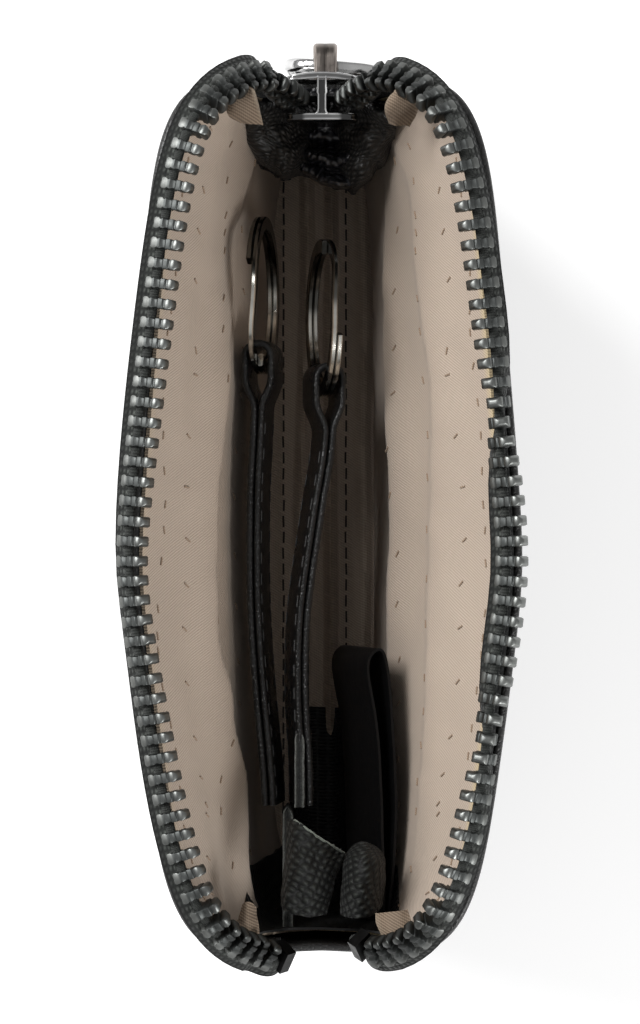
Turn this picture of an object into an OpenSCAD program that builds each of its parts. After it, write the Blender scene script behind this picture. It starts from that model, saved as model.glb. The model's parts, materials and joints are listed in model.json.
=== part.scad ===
// Small leather key case, open at its zip, standing on its flat base.
// X runs along the case with the slider at +X, the back wall is at +Y and the front wall at -Y.
// The origin is the middle of the flat base, and all lengths are in millimetres.

/* [Case] */
// Length of the leather between its two end seams, at the mouth
case_l = 117; // [105:1:130]
// Width of the open mouth between the outer faces of the leather
mouth_w = 51.5; // [46:0.5:60]
// Length of the flat base
base_l = 109; // [98:1:122]
// Width of the flat base
base_w = 20; // [18:0.5:24]
// Height of the leather rim along the long sides
rim_h = 61; // [55:1:72]
// Height of the leather below the slider
slider_end_h = 30; // [27:0.5:34]
// Height of the leather at the stop end
stop_end_h = 42; // [38:0.5:46]
// Radius of the turned edge round the base
base_r = 2.5; // [1.5:0.1:3.5]
// Depth of the hollow that the slider pulls into its end
slider_tuck = 2.7; // [2.5:0.1:4.5]
// Depth of the hollow at the stop end
stop_tuck = 1; // [0.5:0.1:2]

/* [Sheets] */
// Thickness of the leather
leather_t = 1.2; // [1:0.1:1.5]
// Thickness of the board over the base leather
stiffener_t = 1; // [0.6:0.1:1.5]
// Thickness of the twill lining
lining_t = 0.5; // [0.4:0.05:0.8]
// Thickness of the woven zip tape
tape_t = 0.6; // [0.5:0.05:0.8]
// Greatest distance that the lining hangs in from the leather
lining_slack = 0.6; // [0:0.1:1]

/* [Zip] */
// Height of the chain above the leather rim
chain_rise = 4; // [3:0.1:5.5]
// Distance of the chain line inside the leather rim
chain_in = 1.95; // [1.7:0.05:3]
// Distance between two teeth of one row
tooth_pitch = 2.5; // [2.3:0.05:3]
// Length of a tooth from its legs to its head
tooth_l = 4.5; // [3.8:0.1:5]
// Thickness of a tooth along the chain
tooth_t = 1.3; // [1:0.05:1.5]
// Depth of a tooth across its two legs
tooth_d = 2.7; // [2.2:0.05:3]
// Width of the tape below the leather rim
tape_hem = 5; // [3:0.5:7]
// Length of a metal stop along the tape
stop_l = 2; // [1.5:0.1:2.5]

/* [Slider] */
// Length of the slider
slider_l = 10.5; // [9:0.1:12]
// Width of the slider across its shoulders
slider_w = 9.4; // [8.6:0.1:10.5]
// Width of the slider at its tail
slider_tail_w = 7.4; // [6.6:0.1:8.4]
// Thickness of each slider plate
plate_t = 0.9; // [0.7:0.05:1.2]
// Width of the post between the two rows of teeth
post_w = 1.5; // [1:0.05:1.8]
// Width of the crown that holds the pull
crown_w = 3.3; // [2.6:0.1:4]
// Height of the crown above the slider plate
crown_h = 4.3; // [4:0.1:5.5]
// Thickness of the crown
crown_t = 1.1; // [0.8:0.05:1.3]
// Width of the pull
pull_w = 12.4; // [10:0.1:14]
// Length of the pull
pull_l = 15; // [12:0.5:18]
// Thickness of the bar of the pull
pull_t = 2; // [1.6:0.1:2.3]

/* [Straps] */
// Width of the key straps
strap_w = 9; // [7:0.5:10]
// Thickness of one layer of a strap
strap_t = 0.9; // [0.8:0.05:1.3]
// Height of the middle of the straps above the table
strap_z = 35; // [33:0.5:38]
// Distance of the strap pivot from the stop end of the case
anchor_in = 24; // [21:0.5:28]
// Distance of the back ring from the slider end of the case
ring_end_gap = 19; // [17:0.5:25]
// Distance that the front strap is shorter than the back one
strap_step = 3; // [0:0.5:6]
// Clear width inside the loop of a strap
loop_w = 2.6; // [2.4:0.05:3]
// Thickness of the tab that holds both straps
anchor_t = 1.4; // [1:0.1:1.5]

/* [Rings] */
// Outer diameter of the split rings
ring_d = 21; // [18:0.5:23]
// Width of the ring wire, towards the middle of the ring
wire_w = 1.8; // [1.4:0.1:2]
// Thickness of one turn of the ring wire
wire_t = 0.7; // [0.5:0.05:0.8]
// Gap between the two turns of a ring
turn_gap = 0.08; // [0.04:0.01:0.12]

/* [Ribbon] */
// Width of the satin ribbon
ribbon_w = 14; // [10:0.5:16]
// Thickness of the satin ribbon
ribbon_t = 0.35; // [0.25:0.05:0.5]
// Length of the folded ribbon
ribbon_l = 36; // [28:1:40]

/* [Hidden] */

// Clearance between pieces that pass each other
fit = 0.3;
// Clearance between layers that are sewn together
seam_gap = 0.15;
// Overrun of a cut past the face that it opens
cut = 0.5;

// The two sides of the case: the front wall is a mirrored back wall
FRONT = 0;
BACK = 1;

// Exponents of the plan of the leather at the base and at the mouth, and of the chain
plan_p_base = 5;
plan_p_mouth = 10;
plan_q = 3.2;
chain_p = 8;
chain_q = 3;
// The case is widest a little towards its stop end, and tapers to its two ends by these shares
SLIDER_END = 0;
STOP_END = 1;
widest_share = -0.1;
widest_blend_share = 0.12;
taper_shares = [0.2, 0.33];
chain_taper_shares = [0.3, 0.44];
// Half of the angle over which the direction of a wall is taken
plan_step = 0.5;
// How late the walls flare, and the share of the height at which the ends stand upright
flare = 2.2;
bulge_share = 0.5;
// Angles round the plan over which the ends are drawn in and the rim dips
tuck_deg = 26;
dip_deg = 12;
lining_dip_deg = 14;
// Depths of the layers inside the outer face of the leather
tape_in = leather_t + seam_gap + tape_t / 2;
lining_in = leather_t + tape_t + 2 * seam_gap;
floor_h = leather_t + stiffener_t + lining_t;
// The lining ends this far below the leather, and this much lower again round the ends
lining_set = 0.6;
lining_drop = 5;

// Steps of the leather, lining and tape along the case and up it
panel_steps = 36;
panel_rows = 7;
lining_steps = 44;
lining_rows = 9;
tape_steps = 34;

// One direction round the plan for each step, close together near the ends
function turn(s) = s <= 1 ? 90 * pow(s, 1.5) : 180 - 90 * pow(2 - s, 1.5);
function from_end(a) = min(a, 180 - a);
function unit(v) = v / norm(v);
function mix(a, b, t) = a * (1 - t) + b * t;
function reversed(list) = [for (i = [len(list) - 1:-1:0]) list[i]];

// The hollow drawn into each end, as a shift along X that fades towards the base
function end_tuck(a, z) = (a < 90 ? slider_tuck : -stop_tuck) * pow(max(0, 1 - from_end(a) / tuck_deg), 2)
    * pow(min(1, z / (bulge_share * rim_h)), 1.5);

// Half length and half width of the leather at a height
function half_l(z) = base_l / 2 + (case_l - base_l) / 2 * sin(90 * min(1, z / (bulge_share * rim_h)));
function half_w(z) = base_w / 2 + (mouth_w - base_w) / 2 * pow(max(0, z) / rim_h, flare);
function turned_edge(z) = z < base_r ? base_r - sqrt(pow(base_r, 2) - pow(base_r - z, 2)) : 0;
function plan_p(z) = mix(plan_p_mouth, plan_p_base, pow(1 - min(1, z / rim_h), 2));

function tapered(at, shares) = 1 - shares[at > widest_share ? SLIDER_END : STOP_END]
    * (norm([at - widest_share, widest_blend_share]) - widest_blend_share);
function plan(a, z) = [
    half_l(z) * cos(a),
    half_w(z) * pow(max(0, 1 - pow(abs(cos(a)), plan_p(z))), 1 / plan_q)
        * tapered(cos(a), taper_shares * pow(min(1, z / rim_h), 1.5))
];

// A point of the back wall at a direction and height, some depth inside the outer face
function wall(a, z, depth) = let (
    p = plan(a, z),
    step = plan(min(180, a + plan_step), z) - plan(max(0, a - plan_step), z),
    across = from_end(a) < plan_step ? [sign(cos(a)), 0] : unit([step.y, -step.x]),
    in = depth + turned_edge(z)
) [p.x - in * across.x - end_tuck(a, z), p.y - in * across.y, z];

// Height of the leather rim and of the lining rim at a direction
function rim_z(a) = let (end_h = a < 90 ? slider_end_h : stop_end_h)
    rim_h - (rim_h - end_h) / (1 + pow(from_end(a) / dip_deg, 4));
function lining_z(a) = rim_z(a) - lining_set - lining_drop / (1 + pow(from_end(a) / lining_dip_deg, 4));

// The faces of a slab between two grids of points, rows by columns
function quad(a, b, c, d) = [[a, b, c], [a, c, d]];
function slab_faces(rows, cols) = let (n = rows * cols, top = (rows - 1) * cols) concat(
    [for (i = [0:rows - 2], j = [0:cols - 2], f = let (k = i * cols + j)
        quad(k, k + 1, k + cols + 1, k + cols)) f],
    [for (i = [0:rows - 2], j = [0:cols - 2], f = let (k = n + i * cols + j)
        quad(k, k + cols, k + cols + 1, k + 1)) f],
    [for (j = [0:cols - 2], f = quad(j, n + j, n + j + 1, j + 1)) f],
    [for (j = [0:cols - 2], f = let (k = top + j) quad(k, k + 1, n + k + 1, n + k)) f],
    [for (i = [0:rows - 2], f = let (k = i * cols) quad(k, k + cols, n + k + cols, n + k)) f],
    [for (i = [0:rows - 2], f = let (k = i * cols + cols - 1) quad(k, n + k, n + k + cols, k + cols)) f]
);
module slab(inner, outer) {
    polyhedron(
        points = concat([for (row = inner, p = row) p], [for (row = outer, p = row) p]),
        faces = slab_faces(len(inner), len(inner[0])),
        convexity = 6
    );
}

// Both sides of the case are drawn as the back wall, and the front one is mirrored
module on_side(side) {
    mirror([0, side == FRONT ? 1 : 0, 0]) children();
}

// Leather

function panel_height(a, row) = let (low = [0, base_r * (1 - cos(30)), base_r])
    row < len(low) ? low[row] : mix(base_r, rim_z(a), (row - len(low) + 1) / panel_rows);
function panel_grid(depth) = [for (row = [0:panel_rows + 2])
    [for (i = [0:panel_steps]) let (a = turn(2 * i / panel_steps)) wall(a, panel_height(a, row), depth)]];

module panel(side) {
    color("#1d1d1f") on_side(side) slab(panel_grid(leather_t), panel_grid(0));
}

// A flat outline round both sides at a height and depth
function outline(z, depth) = let (
    back = [for (i = [0:panel_steps]) let (p = wall(turn(2 * i / panel_steps), z, depth)) [p.x, p.y]]
) concat(back, [for (i = [panel_steps - 1:-1:1]) [back[i].x, -back[i].y]]);

module base_gusset() {
    color("#1d1d1f") linear_extrude(leather_t) polygon(outline(0, leather_t + seam_gap));
}

module base_stiffener() {
    color("#8d7f6c") translate([0, 0, leather_t])
        linear_extrude(stiffener_t) polygon(outline(leather_t, leather_t + lining_t + fit));
}

// Lining

module lining_base() {
    color("#b79f8b") translate([0, 0, leather_t + stiffener_t])
        linear_extrude(lining_t) polygon(outline(leather_t + stiffener_t, leather_t + seam_gap));
}

// The slack of the lining hangs in shallow waves, deepest at the middle of the case
function lining_wave(a) = pow(sin(a), 2) * (0.7 + 0.3 * sin(7 * a));
function lining_depth(a, up) = lining_in + lining_slack * sin(180 * up) * lining_wave(a);
function lining_grid(side, skin) = [for (row = [0:lining_rows]) let (up = row / lining_rows)
    [for (i = [0:lining_steps]) let (a = turn(2 * i / lining_steps))
        wall(a, mix(floor_h, lining_z(a), up), lining_depth(a, up) + skin)]];

module lining(side) {
    color("#b79f8b") on_side(side) slab(lining_grid(side, lining_t), lining_grid(side, 0));
}

// Path of the chain: along the rim, then down to the slider at one end and to its stop at the other

chain_half_l = case_l / 2 - 1.15 * leather_t;
chain_half_w = mouth_w / 2 - chain_in;
chain_h = rim_h + chain_rise;
// Directions at which the chain leaves the rim, at which its dip starts and at which the tape's hem ends
leave_deg = 12;
settle_deg = 36;
hem_end_deg = 6;
settle_drop = 2 * tooth_l;

function rim_chain(a) = [
    chain_half_l * cos(a),
    chain_half_w * pow(max(0, 1 - pow(abs(cos(a)), chain_p)), 1 / chain_q)
        * tapered(cos(a), chain_taper_shares),
    chain_h - settle_drop * pow(max(0, (settle_deg - from_end(a)) / (settle_deg - leave_deg)), 2)
];

// Where the slider stands, and where each row of teeth enters it
slider_x = case_l / 2 - slider_tuck - 1.2 * leather_t;
slider_z = slider_end_h + 2 * stop_l;
slider_gap = tooth_d + 4 * fit;
mouth_y = post_w / 2 + fit + tooth_l / 2 + 0.1 * tooth_l;
mouth_point = [slider_x, mouth_y, slider_z + slider_l - 0.6 * tooth_t];
mouth_heading = unit([-0.1, -0.25, -1]);
// Where each row ends at the stop end, in shares of the chain's half length and of the tooth length
stop_x_shares = [0.955, 0.985];
stop_heading = unit([0.5, -0.8, -1]);
stop_drop = 3.2 * tooth_l;
function stop_point(side) = [-stop_x_shares[side] * chain_half_l, 0.78 * tooth_l, chain_h - stop_drop];

function bezier(p, t) = pow(1 - t, 3) * p[0] + 3 * t * pow(1 - t, 2) * p[1]
    + 3 * pow(t, 2) * (1 - t) * p[2] + pow(t, 3) * p[3];
function leaving(a, step) = unit(rim_chain(a + step) - rim_chain(a));
slider_curve = let (start = rim_chain(leave_deg)) [
    start,
    start + 1.1 * tooth_l * leaving(leave_deg, -1),
    mouth_point - 1.6 * tooth_l * mouth_heading,
    mouth_point
];
function stop_curve(side) = let (start = rim_chain(180 - leave_deg)) [
    start,
    start + 0.8 * tooth_l * leaving(180 - leave_deg, 1),
    stop_point(side) - tooth_l * stop_heading,
    stop_point(side)
];

// The path is one parameter: below 0 down to the slider, 0 to 1 along the rim, above 1 to the stop
function chain_at(side, s) = s < 0 ? bezier(slider_curve, -s)
    : s > 1 ? bezier(stop_curve(side), s - 1)
    : rim_chain(turn_between(s));
function turn_between(s) = let (edge = pow(leave_deg / 90, 1 / 1.5)) turn(mix(edge, 2 - edge, s));
function chain_heading(side, s) = let (step = 0.004)
    unit(chain_at(side, min(2, s + step)) - chain_at(side, max(-1, s - step)));

// Roll of a tooth out of the level: heads lean in and up, and the front row rolls outwards midway
function tooth_roll(side, x) = let (share = x / case_l)
    side == BACK ? 20 + 30 * exp(-pow((share + 0.1) / 0.17, 2))
    : 34 + 108 * exp(-pow((share + 0.07) / 0.19, 4));

// Direction from the legs to the head of a tooth
function tooth_lean(side, s) = let (
    at = chain_at(side, s),
    heading = chain_heading(side, s),
    level = unit([-heading.y, heading.x, 0]),
    roll = tooth_roll(side, at.x),
    free = cos(roll) * level + [0, 0, sin(roll)],
    held = s < 0 ? mix(free, [0, -1, 0], sin(-90 * s)) : s > 1 ? mix(free, [0, -1, 0], 0.6 * (s - 1)) : free
) unit(held - (held * heading) * heading);

// Lengths along the chain, so that the teeth stand one pitch apart
chain_samples = 160;
function chain_table(side) = let (
    s = [for (i = [0:chain_samples]) -1 + 3 * i / chain_samples],
    p = [for (v = s) chain_at(side, v)]
) [for (i = 0, l = 0; i <= chain_samples; l = l + (i < chain_samples ? norm(p[i + 1] - p[i]) : 0), i = i + 1)
    [l, s[i]]];
chain_tables = [chain_table(FRONT), chain_table(BACK)];
function chain_length(side) = chain_tables[side][chain_samples][0];
function chain_param(side, l) = lookup(l, chain_tables[side]);
function teeth_count(side) = floor((chain_length(side) - 1.2 * tooth_pitch) / tooth_pitch);

// Zip teeth, each with a crimped pair of legs, a waist and a rounded head with its nib

tooth_half = tooth_l / 2;
tooth_side = [
    [-tooth_half, -0.5 * tooth_d], [-0.1 * tooth_l, -0.5 * tooth_d], [0.03 * tooth_l, -0.38 * tooth_d],
    [0.16 * tooth_l, -0.44 * tooth_d], [0.38 * tooth_l, -0.44 * tooth_d], [tooth_half, -0.26 * tooth_d],
    [tooth_half, 0.26 * tooth_d], [0.38 * tooth_l, 0.44 * tooth_d], [0.16 * tooth_l, 0.44 * tooth_d],
    [0.03 * tooth_l, 0.38 * tooth_d], [-0.1 * tooth_l, 0.5 * tooth_d], [-tooth_half, 0.5 * tooth_d],
    [-tooth_half, 0.22 * tooth_d], [-0.14 * tooth_l, 0.22 * tooth_d], [-0.08 * tooth_l, 0],
    [-0.14 * tooth_l, -0.22 * tooth_d], [-tooth_half, -0.22 * tooth_d]
];
tooth_face = [
    [-0.5 * tooth_t, -tooth_half], [0.5 * tooth_t, -tooth_half], [0.5 * tooth_t, -0.12 * tooth_l],
    [0.36 * tooth_t, 0], [0.46 * tooth_t, 0.12 * tooth_l], [0.46 * tooth_t, 0.34 * tooth_l],
    [0.26 * tooth_t, tooth_half], [-0.26 * tooth_t, tooth_half], [-0.46 * tooth_t, 0.34 * tooth_l],
    [-0.46 * tooth_t, 0.12 * tooth_l], [-0.36 * tooth_t, 0], [-0.5 * tooth_t, -0.12 * tooth_l]
];

module tooth() {
    intersection() {
        rotate([90, 0, 90]) linear_extrude(2 * tooth_t, center = true) polygon(tooth_side);
        linear_extrude(2 * tooth_d, center = true) polygon(tooth_face);
    }
}

// Stands a piece on the chain, its X along the chain and its Y towards the head of a tooth
module on_chain(side, s) {
    at = chain_at(side, s);
    heading = chain_heading(side, s);
    lean = tooth_lean(side, s);
    up = cross(heading, lean);
    multmatrix([
        [heading.x, lean.x, up.x, at.x],
        [heading.y, lean.y, up.y, at.y],
        [heading.z, lean.z, up.z, at.z]
    ]) children();
}

module teeth(side) {
    color("#4b4f52") on_side(side)
        for (i = [0:teeth_count(side)])
            on_chain(side, chain_param(side, (i + 0.1) * tooth_pitch)) tooth();
}

// A stop is a crimped block on the bead of the tape, one pitch past the last tooth
module top_stop(side) {
    color("#4b4f52") on_side(side)
        on_chain(side, chain_param(side, (teeth_count(side) + 1.1) * tooth_pitch)) difference() {
            cube([0.75 * stop_l, 0.75 * tooth_l, tooth_d], center = true);
            translate([0, -0.5 * tooth_l, 0]) cube([stop_l + cut, tooth_l, 0.44 * tooth_d], center = true);
        }
}

// Zip tape: each cross-section runs from the bead in the teeth to the hem under the leather

function tape_rim(side, s) = let (
    at = chain_at(side, s),
    lean = tooth_lean(side, s),
    end = s < 0 ? -s : s > 1 ? s - 1 : 0,
    a = s < 0 ? mix(leave_deg, hem_end_deg, -s)
        : s > 1 ? 180 - mix(leave_deg, hem_end_deg, s - 1)
        : turn_between(s),
    edge = wall(a, rim_z(a) - seam_gap, tape_in),
    legs = at - (tooth_half + tape_t) * lean
) [
    at - 0.08 * tooth_l * lean,
    legs,
    mix(legs, edge, 0.5) - 0.25 * tape_t * lean,
    edge,
    wall(a, rim_z(a) - mix(tape_hem, 0.2 * tape_hem, end), tape_in)
];

// The tail below the slider folds into the case, given as shares of the slider's height and of the tape
tail_w = 1.7 * tooth_l;
slider_tail_shares = [[0, 0.42, 0.26, 0.3], [0, 0.12, 0.15, 0.36], [0.01, -0.26, 0.14, 0.38],
    [0.14, -0.42, 0.13, 0.4], [0.5, -0.75, 0.12, 0.52], [0.82, -1.1, 0.12, 0.6], [1, -1.3, 0.12, 0.62]];
tail_reach = 0.9 * slider_l;
function tape_slider_tail(row) = let (
    x = slider_x - row[0] * tail_reach,
    z = slider_z + row[1] * slider_l,
    y = row[2] * tail_w
) [for (w = [0, 0.25, 0.5, 0.75, 1]) [x, y + w * row[3] * tail_w, z]];

// The tails at the stop end fold in and down, the back one flatter than the front one
stop_tail_shares = [
    [[0.08, 0.1, 0.35], [0.22, 0.42, 0.38], [0.5, 0.72, 0.4], [0.8, 0.8, 0.42], [1, 1, 0.4]],
    [[0.1, 0.16, 0.2], [0.25, 0.5, 0.06], [0.5, 0.8, 0], [0.8, 0.96, -0.04], [1, 1, -0.06]]
];
stop_tail_reach = 0.165 * case_l;
stop_tail_drop = 0.2 * (chain_h - strap_z);
stop_tail_tilt_shares = [0.5, 0.25];
function tape_stop_tail(side, row) = let (
    x = stop_point(side).x + row[0] * stop_tail_reach,
    z = stop_point(side).z - row[1] * stop_tail_drop,
    y = row[2] * tail_w
) [for (w = [0, 0.25, 0.5, 0.75, 1])
    [x, y + 0.7 * w * tail_w, z - stop_tail_tilt_shares[side] * w * tail_w * min(1, 2 * row[0])]];

function tape_rows(side) = concat(
    [for (row = reversed(slider_tail_shares)) tape_slider_tail(row)],
    [for (s = [-1, -0.85, -0.7, -0.5, -0.3, -0.15]) tape_rim(side, s)],
    [for (i = [0:tape_steps]) tape_rim(side, i / tape_steps)],
    [for (s = [1.2, 1.4, 1.6, 1.8, 2]) tape_rim(side, s)],
    [for (row = stop_tail_shares[side]) tape_stop_tail(side, row)]
);

// Normals of a strip of cross-sections, and the strip shifted along them
function strip_normal(rows, i, j) = let (
    along = rows[min(i + 1, len(rows) - 1)][j] - rows[max(i - 1, 0)][j],
    over = rows[i][min(j + 1, len(rows[i]) - 1)] - rows[i][max(j - 1, 0)]
) unit(cross(along, over));
function shifted(rows, d) = [for (i = [0:len(rows) - 1])
    [for (j = [0:len(rows[i]) - 1]) rows[i][j] + d * strip_normal(rows, i, j)]];

module tape(side) {
    rows = tape_rows(side);
    color("#17181a") on_side(side) slab(shifted(rows, tape_t / 2), shifted(rows, -tape_t / 2));
}

// Slider: two plates joined by a post, with guides that leave a slot for the tapes

slider_out = slider_gap / 2 + plate_t;
plate_outline = [
    [-slider_tail_w / 2, 0.06 * slider_l], [-slider_tail_w / 2 + 0.06 * slider_l, 0],
    [slider_tail_w / 2 - 0.06 * slider_l, 0], [slider_tail_w / 2, 0.06 * slider_l],
    [slider_tail_w / 2, 0.45 * slider_l], [slider_w / 2, 0.68 * slider_l], [slider_w / 2, 0.9 * slider_l],
    [0.42 * slider_w, slider_l], [-0.42 * slider_w, slider_l], [-slider_w / 2, 0.9 * slider_l],
    [-slider_w / 2, 0.68 * slider_l], [-slider_tail_w / 2, 0.45 * slider_l]
];
guide_t = 0.09 * slider_tail_w;
guide_slot = 2.4 * tape_t;

// Stands an outline across the case, its Y up, and thickens it along X from a place
module across(x, thick) {
    translate([x, 0, 0]) rotate([90, 0, 90]) linear_extrude(thick) children();
}

module slider_body() {
    color("#6a6c6e") translate([slider_x, 0, slider_z]) {
        across(slider_gap / 2, plate_t) polygon(plate_outline);
        across(-slider_out, plate_t) polygon(plate_outline);
        across(-slider_gap / 2, slider_gap) polygon([
            [-post_w / 2, slider_l], [-post_w / 2, 0.86 * slider_l], [0, 0.62 * slider_l],
            [post_w / 2, 0.86 * slider_l], [post_w / 2, slider_l]
        ]);
        for (y = [-1, 1], x = [-slider_gap / 2, guide_slot / 2])
            translate([x, y * (slider_tail_w - guide_t) / 2 - guide_t / 2, 0.06 * slider_l])
                cube([(slider_gap - guide_slot) / 2, guide_t, 0.4 * slider_l]);
    }
}

// Points of an arc
function arc(center, r, a0, a1, n) = [for (i = [0:n]) let (a = mix(a0, a1, i / n))
    center + r * [cos(a), sin(a)]];
corner_steps = 6;
function round_box(w, h, r) = concat(
    arc([w / 2 - r, h / 2 - r], r, 0, 90, corner_steps),
    arc([-w / 2 + r, h / 2 - r], r, 90, 180, corner_steps),
    arc([-w / 2 + r, -h / 2 + r], r, 180, 270, corner_steps),
    arc([w / 2 - r, -h / 2 + r], r, 270, 360, corner_steps)
);

crown_z = slider_z + 0.52 * slider_l;
crown_l = 0.68 * slider_l;
crown_r = 0.45 * crown_h;
crown_x = slider_x + slider_out;

module slider_crown() {
    color("#5b5856") translate([crown_x, crown_w / 2, crown_z]) rotate([90, 0, 0])
        linear_extrude(crown_w) intersection() {
            difference() {
                polygon(round_box(2 * crown_h, crown_l, crown_r));
                polygon(round_box(2 * (crown_h - crown_t), crown_l - 2 * crown_t, crown_r - 0.6 * crown_t));
            }
            translate([0, -crown_l]) square([2 * crown_h, 2 * crown_l]);
        }
}

// The pull is a stirrup whose top bar lies in the crown
pull_x = crown_x + (crown_h - crown_t) / 2;
pull_z = crown_z - 0.1 * crown_l;
pull_r = 0.3 * pull_w;

module pull_tab() {
    color("#8c8e90") translate([0, 0, pull_z + pull_t / 2 - pull_l / 2])
        across(pull_x - pull_t / 2, pull_t) difference() {
            polygon(round_box(pull_w, pull_l, pull_r));
            polygon(round_box(pull_w - 2 * pull_t, pull_l - 2 * pull_t, pull_r - pull_t));
        }
}

// The bottom stop is crimped over both tapes just below the slider
bottom_stop_w = 0.9 * tooth_l;

module bottom_stop() {
    color("#4b4f52") translate([slider_x, 0, slider_z - fit - stop_l / 2]) difference() {
        cube([tooth_d, bottom_stop_w, stop_l], center = true);
        for (y = [-1, 1])
            translate([0, y * (bottom_stop_w / 2 + 0.1 * tape_t), 0])
                cube([guide_slot, bottom_stop_w - post_w, stop_l + cut], center = true);
    }
}

// Key straps: each is one strip folded into a loop round its ring, standing on edge in the case

pivot_x = anchor_in - case_l / 2;
root_l = 0.45 * strap_w;
layer_gap = 0.1;
ring_in = ring_d / 2 - wire_w;
wire_stack = 2 * wire_t + turn_gap;
// Distance from the middle of a ring to the inner end of the loop that holds it
loop_dip = (loop_w - sqrt(pow(loop_w, 2) - pow(wire_stack, 2))) / 2;
loop_reach = sqrt(pow(ring_in, 2) - pow(strap_w / 2, 2)) - fit - loop_dip;
ring_xs = [case_l / 2 - ring_end_gap - strap_step - ring_d / 2, case_l / 2 - ring_end_gap - ring_d / 2];
loop_l = ring_d / 2 + fit + loop_dip - loop_reach;
taper_l = 1.6 * loop_w;
// Lean of each strap out of the upright, and its path as shares of its length and of the base's half width
strap_tilts = [10, -8];
strap_paths_shares = [
    [[-0.3, 0.28], [0, 0.28], [0.12, 0.29], [0.3, 0.34], [0.52, 0.31], [0.78, 0.13], [1, -0.03], [1.3, -0.03]],
    [[-0.3, 0.61], [0, 0.64], [0.12, 0.68], [0.3, 0.77], [0.52, 0.84], [0.78, 0.84], [1, 0.79], [1.3, 0.79]]
];
path_steps = 8;

function catmull(p, i, t) = 0.5 * (2 * p[i] + t * (p[i + 1] - p[i - 1])
    + pow(t, 2) * (2 * p[i - 1] - 5 * p[i] + 4 * p[i + 1] - p[i + 2])
    + pow(t, 3) * (3 * p[i] - p[i - 1] - 3 * p[i + 1] + p[i + 2]));
function smooth_path(p, n) = concat(
    [for (i = [1:len(p) - 3], k = [0:n - 1]) catmull(p, i, k / n)],
    [p[len(p) - 2]]
);
// The two long edges of a flat strip that follows a path
function path_side(p, i) = let (v = unit(p[min(i + 1, len(p) - 1)] - p[max(i - 1, 0)])) [-v.y, v.x];
function edge_points(p, d) = [for (i = [0:len(p) - 1]) p[i] + d * path_side(p, i)];
function strip(p, t) = concat(edge_points(p, t / 2), reversed(edge_points(p, -t / 2)));

loop_mid = (loop_w + strap_t) / 2;
layer_mid = (strap_t + layer_gap) / 2;
function loop_start(side) = ring_xs[side] - loop_reach - loop_mid + strap_t / 2 - loop_l + loop_w / 2;
function strap_y(side) = strap_paths_shares[side][6][1] * base_w / 2;
function strap_centre(side) = let (
    end_x = loop_start(side) - taper_l,
    root_x = pivot_x - root_l
) smooth_path([for (p = strap_paths_shares[side])
    [mix(root_x, end_x, p[0]), p[1] * base_w / 2]], path_steps / 2);

function strap_fold(side) = let (
    line = strap_centre(side),
    y = strap_y(side),
    start = loop_start(side),
    end = ring_xs[side] - loop_reach - loop_mid + strap_t / 2,
    taper = [for (k = [1:5]) let (t = k / 5)
        [start - taper_l * (1 - t), mix(layer_mid, loop_mid, (1 - cos(180 * t)) / 2)]]
) concat(
    edge_points(line, layer_mid),
    [for (p = taper) [p[0], y + p[1]]],
    arc([end, y], loop_mid, 90, -90, 2 * corner_steps),
    [for (p = reversed(taper)) [p[0], y - p[1]]],
    reversed(edge_points(line, -layer_mid))
);

// Leans a piece of a strap with its strap, about the line at the strap's own height
module leaned(side) {
    translate([0, strap_y(side), strap_z]) rotate([strap_tilts[side], 0, 0])
        translate([0, -strap_y(side), 0]) children();
}

module strap(side) {
    color("#17171a") leaned(side) translate([0, 0, -strap_w / 2])
        linear_extrude(strap_w) polygon(strip(strap_fold(side), strap_t));
}

// The tab is sewn into the stop end between the roots of the two straps
anchor_y = 0.45 * base_w / 2;
anchor_end = wall(180, strap_z, lining_in + lining_t + fit).x;

module strap_anchor() {
    color("#3a3b3c") translate([anchor_end, anchor_y - anchor_t / 2, strap_z - strap_w / 2])
        cube([pivot_x - root_l - fit - anchor_end, anchor_t, strap_w]);
}

// Split rings: flat wire in two turns, which cross over in a short jog

jog_deg = 30;
end_deg = 45;
ring_step_deg = 9;
turn_mid = (wire_t + turn_gap) / 2;
wire_mid = ring_d / 2 - wire_w / 2;
wire_bevel_share = 0.22;
wire_section = let (w = wire_w / 2, t = wire_t / 2, b = wire_bevel_share * wire_t) [
    [w, b - t], [w, t - b], [w - b, t], [b - w, t], [-w, t - b], [-w, b - t], [b - w, -t], [w - b, -t]
];
function jog(a) = turn_mid * sin(90 * max(-1, min(1, (a - 360) / jog_deg)));
function wire_ring(a) = [for (p = wire_section)
    [(wire_mid + p.x) * cos(a), p.y + jog(a), (wire_mid + p.x) * sin(a)]];

module wire_coil() {
    n = len(wire_section);
    turns = [for (a = [end_deg:ring_step_deg:720 - end_deg]) wire_ring(a)];
    last = (len(turns) - 1) * n;
    polyhedron(
        points = [for (row = turns, p = row) p],
        faces = concat(
            [[for (k = [0:n - 1]) k]],
            [for (i = [0:len(turns) - 2], k = [0:n - 1], f = let (m = (k + 1) % n, b = i * n)
                quad(b + k, b + n + k, b + n + m, b + m)) f],
            [[for (k = [n - 1:-1:0]) last + k]]
        ),
        convexity = 8
    );
}

ring_turns = [-110, -60];

module split_ring(side) {
    color("#9a9a98") leaned(side) translate([ring_xs[side], strap_y(side), 0])
        rotate([0, ring_turns[side], 0]) wire_coil();
}

// Satin ribbon folded into a loop, its two ends sewn in at the stop end

ribbon_root = [anchor_end + 2 * fit, -0.62 * base_w / 2];
ribbon_path_shares = [[-0.2, 0.02], [0, 0.02], [0.35, 0.13], [0.7, 0.2], [0.93, 0.32], [1, 0.12],
    [0.95, -0.08], [0.7, -0.17], [0.35, -0.19], [0, -0.02], [-0.2, -0.02]];
ribbon_tilt = 12;

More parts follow.
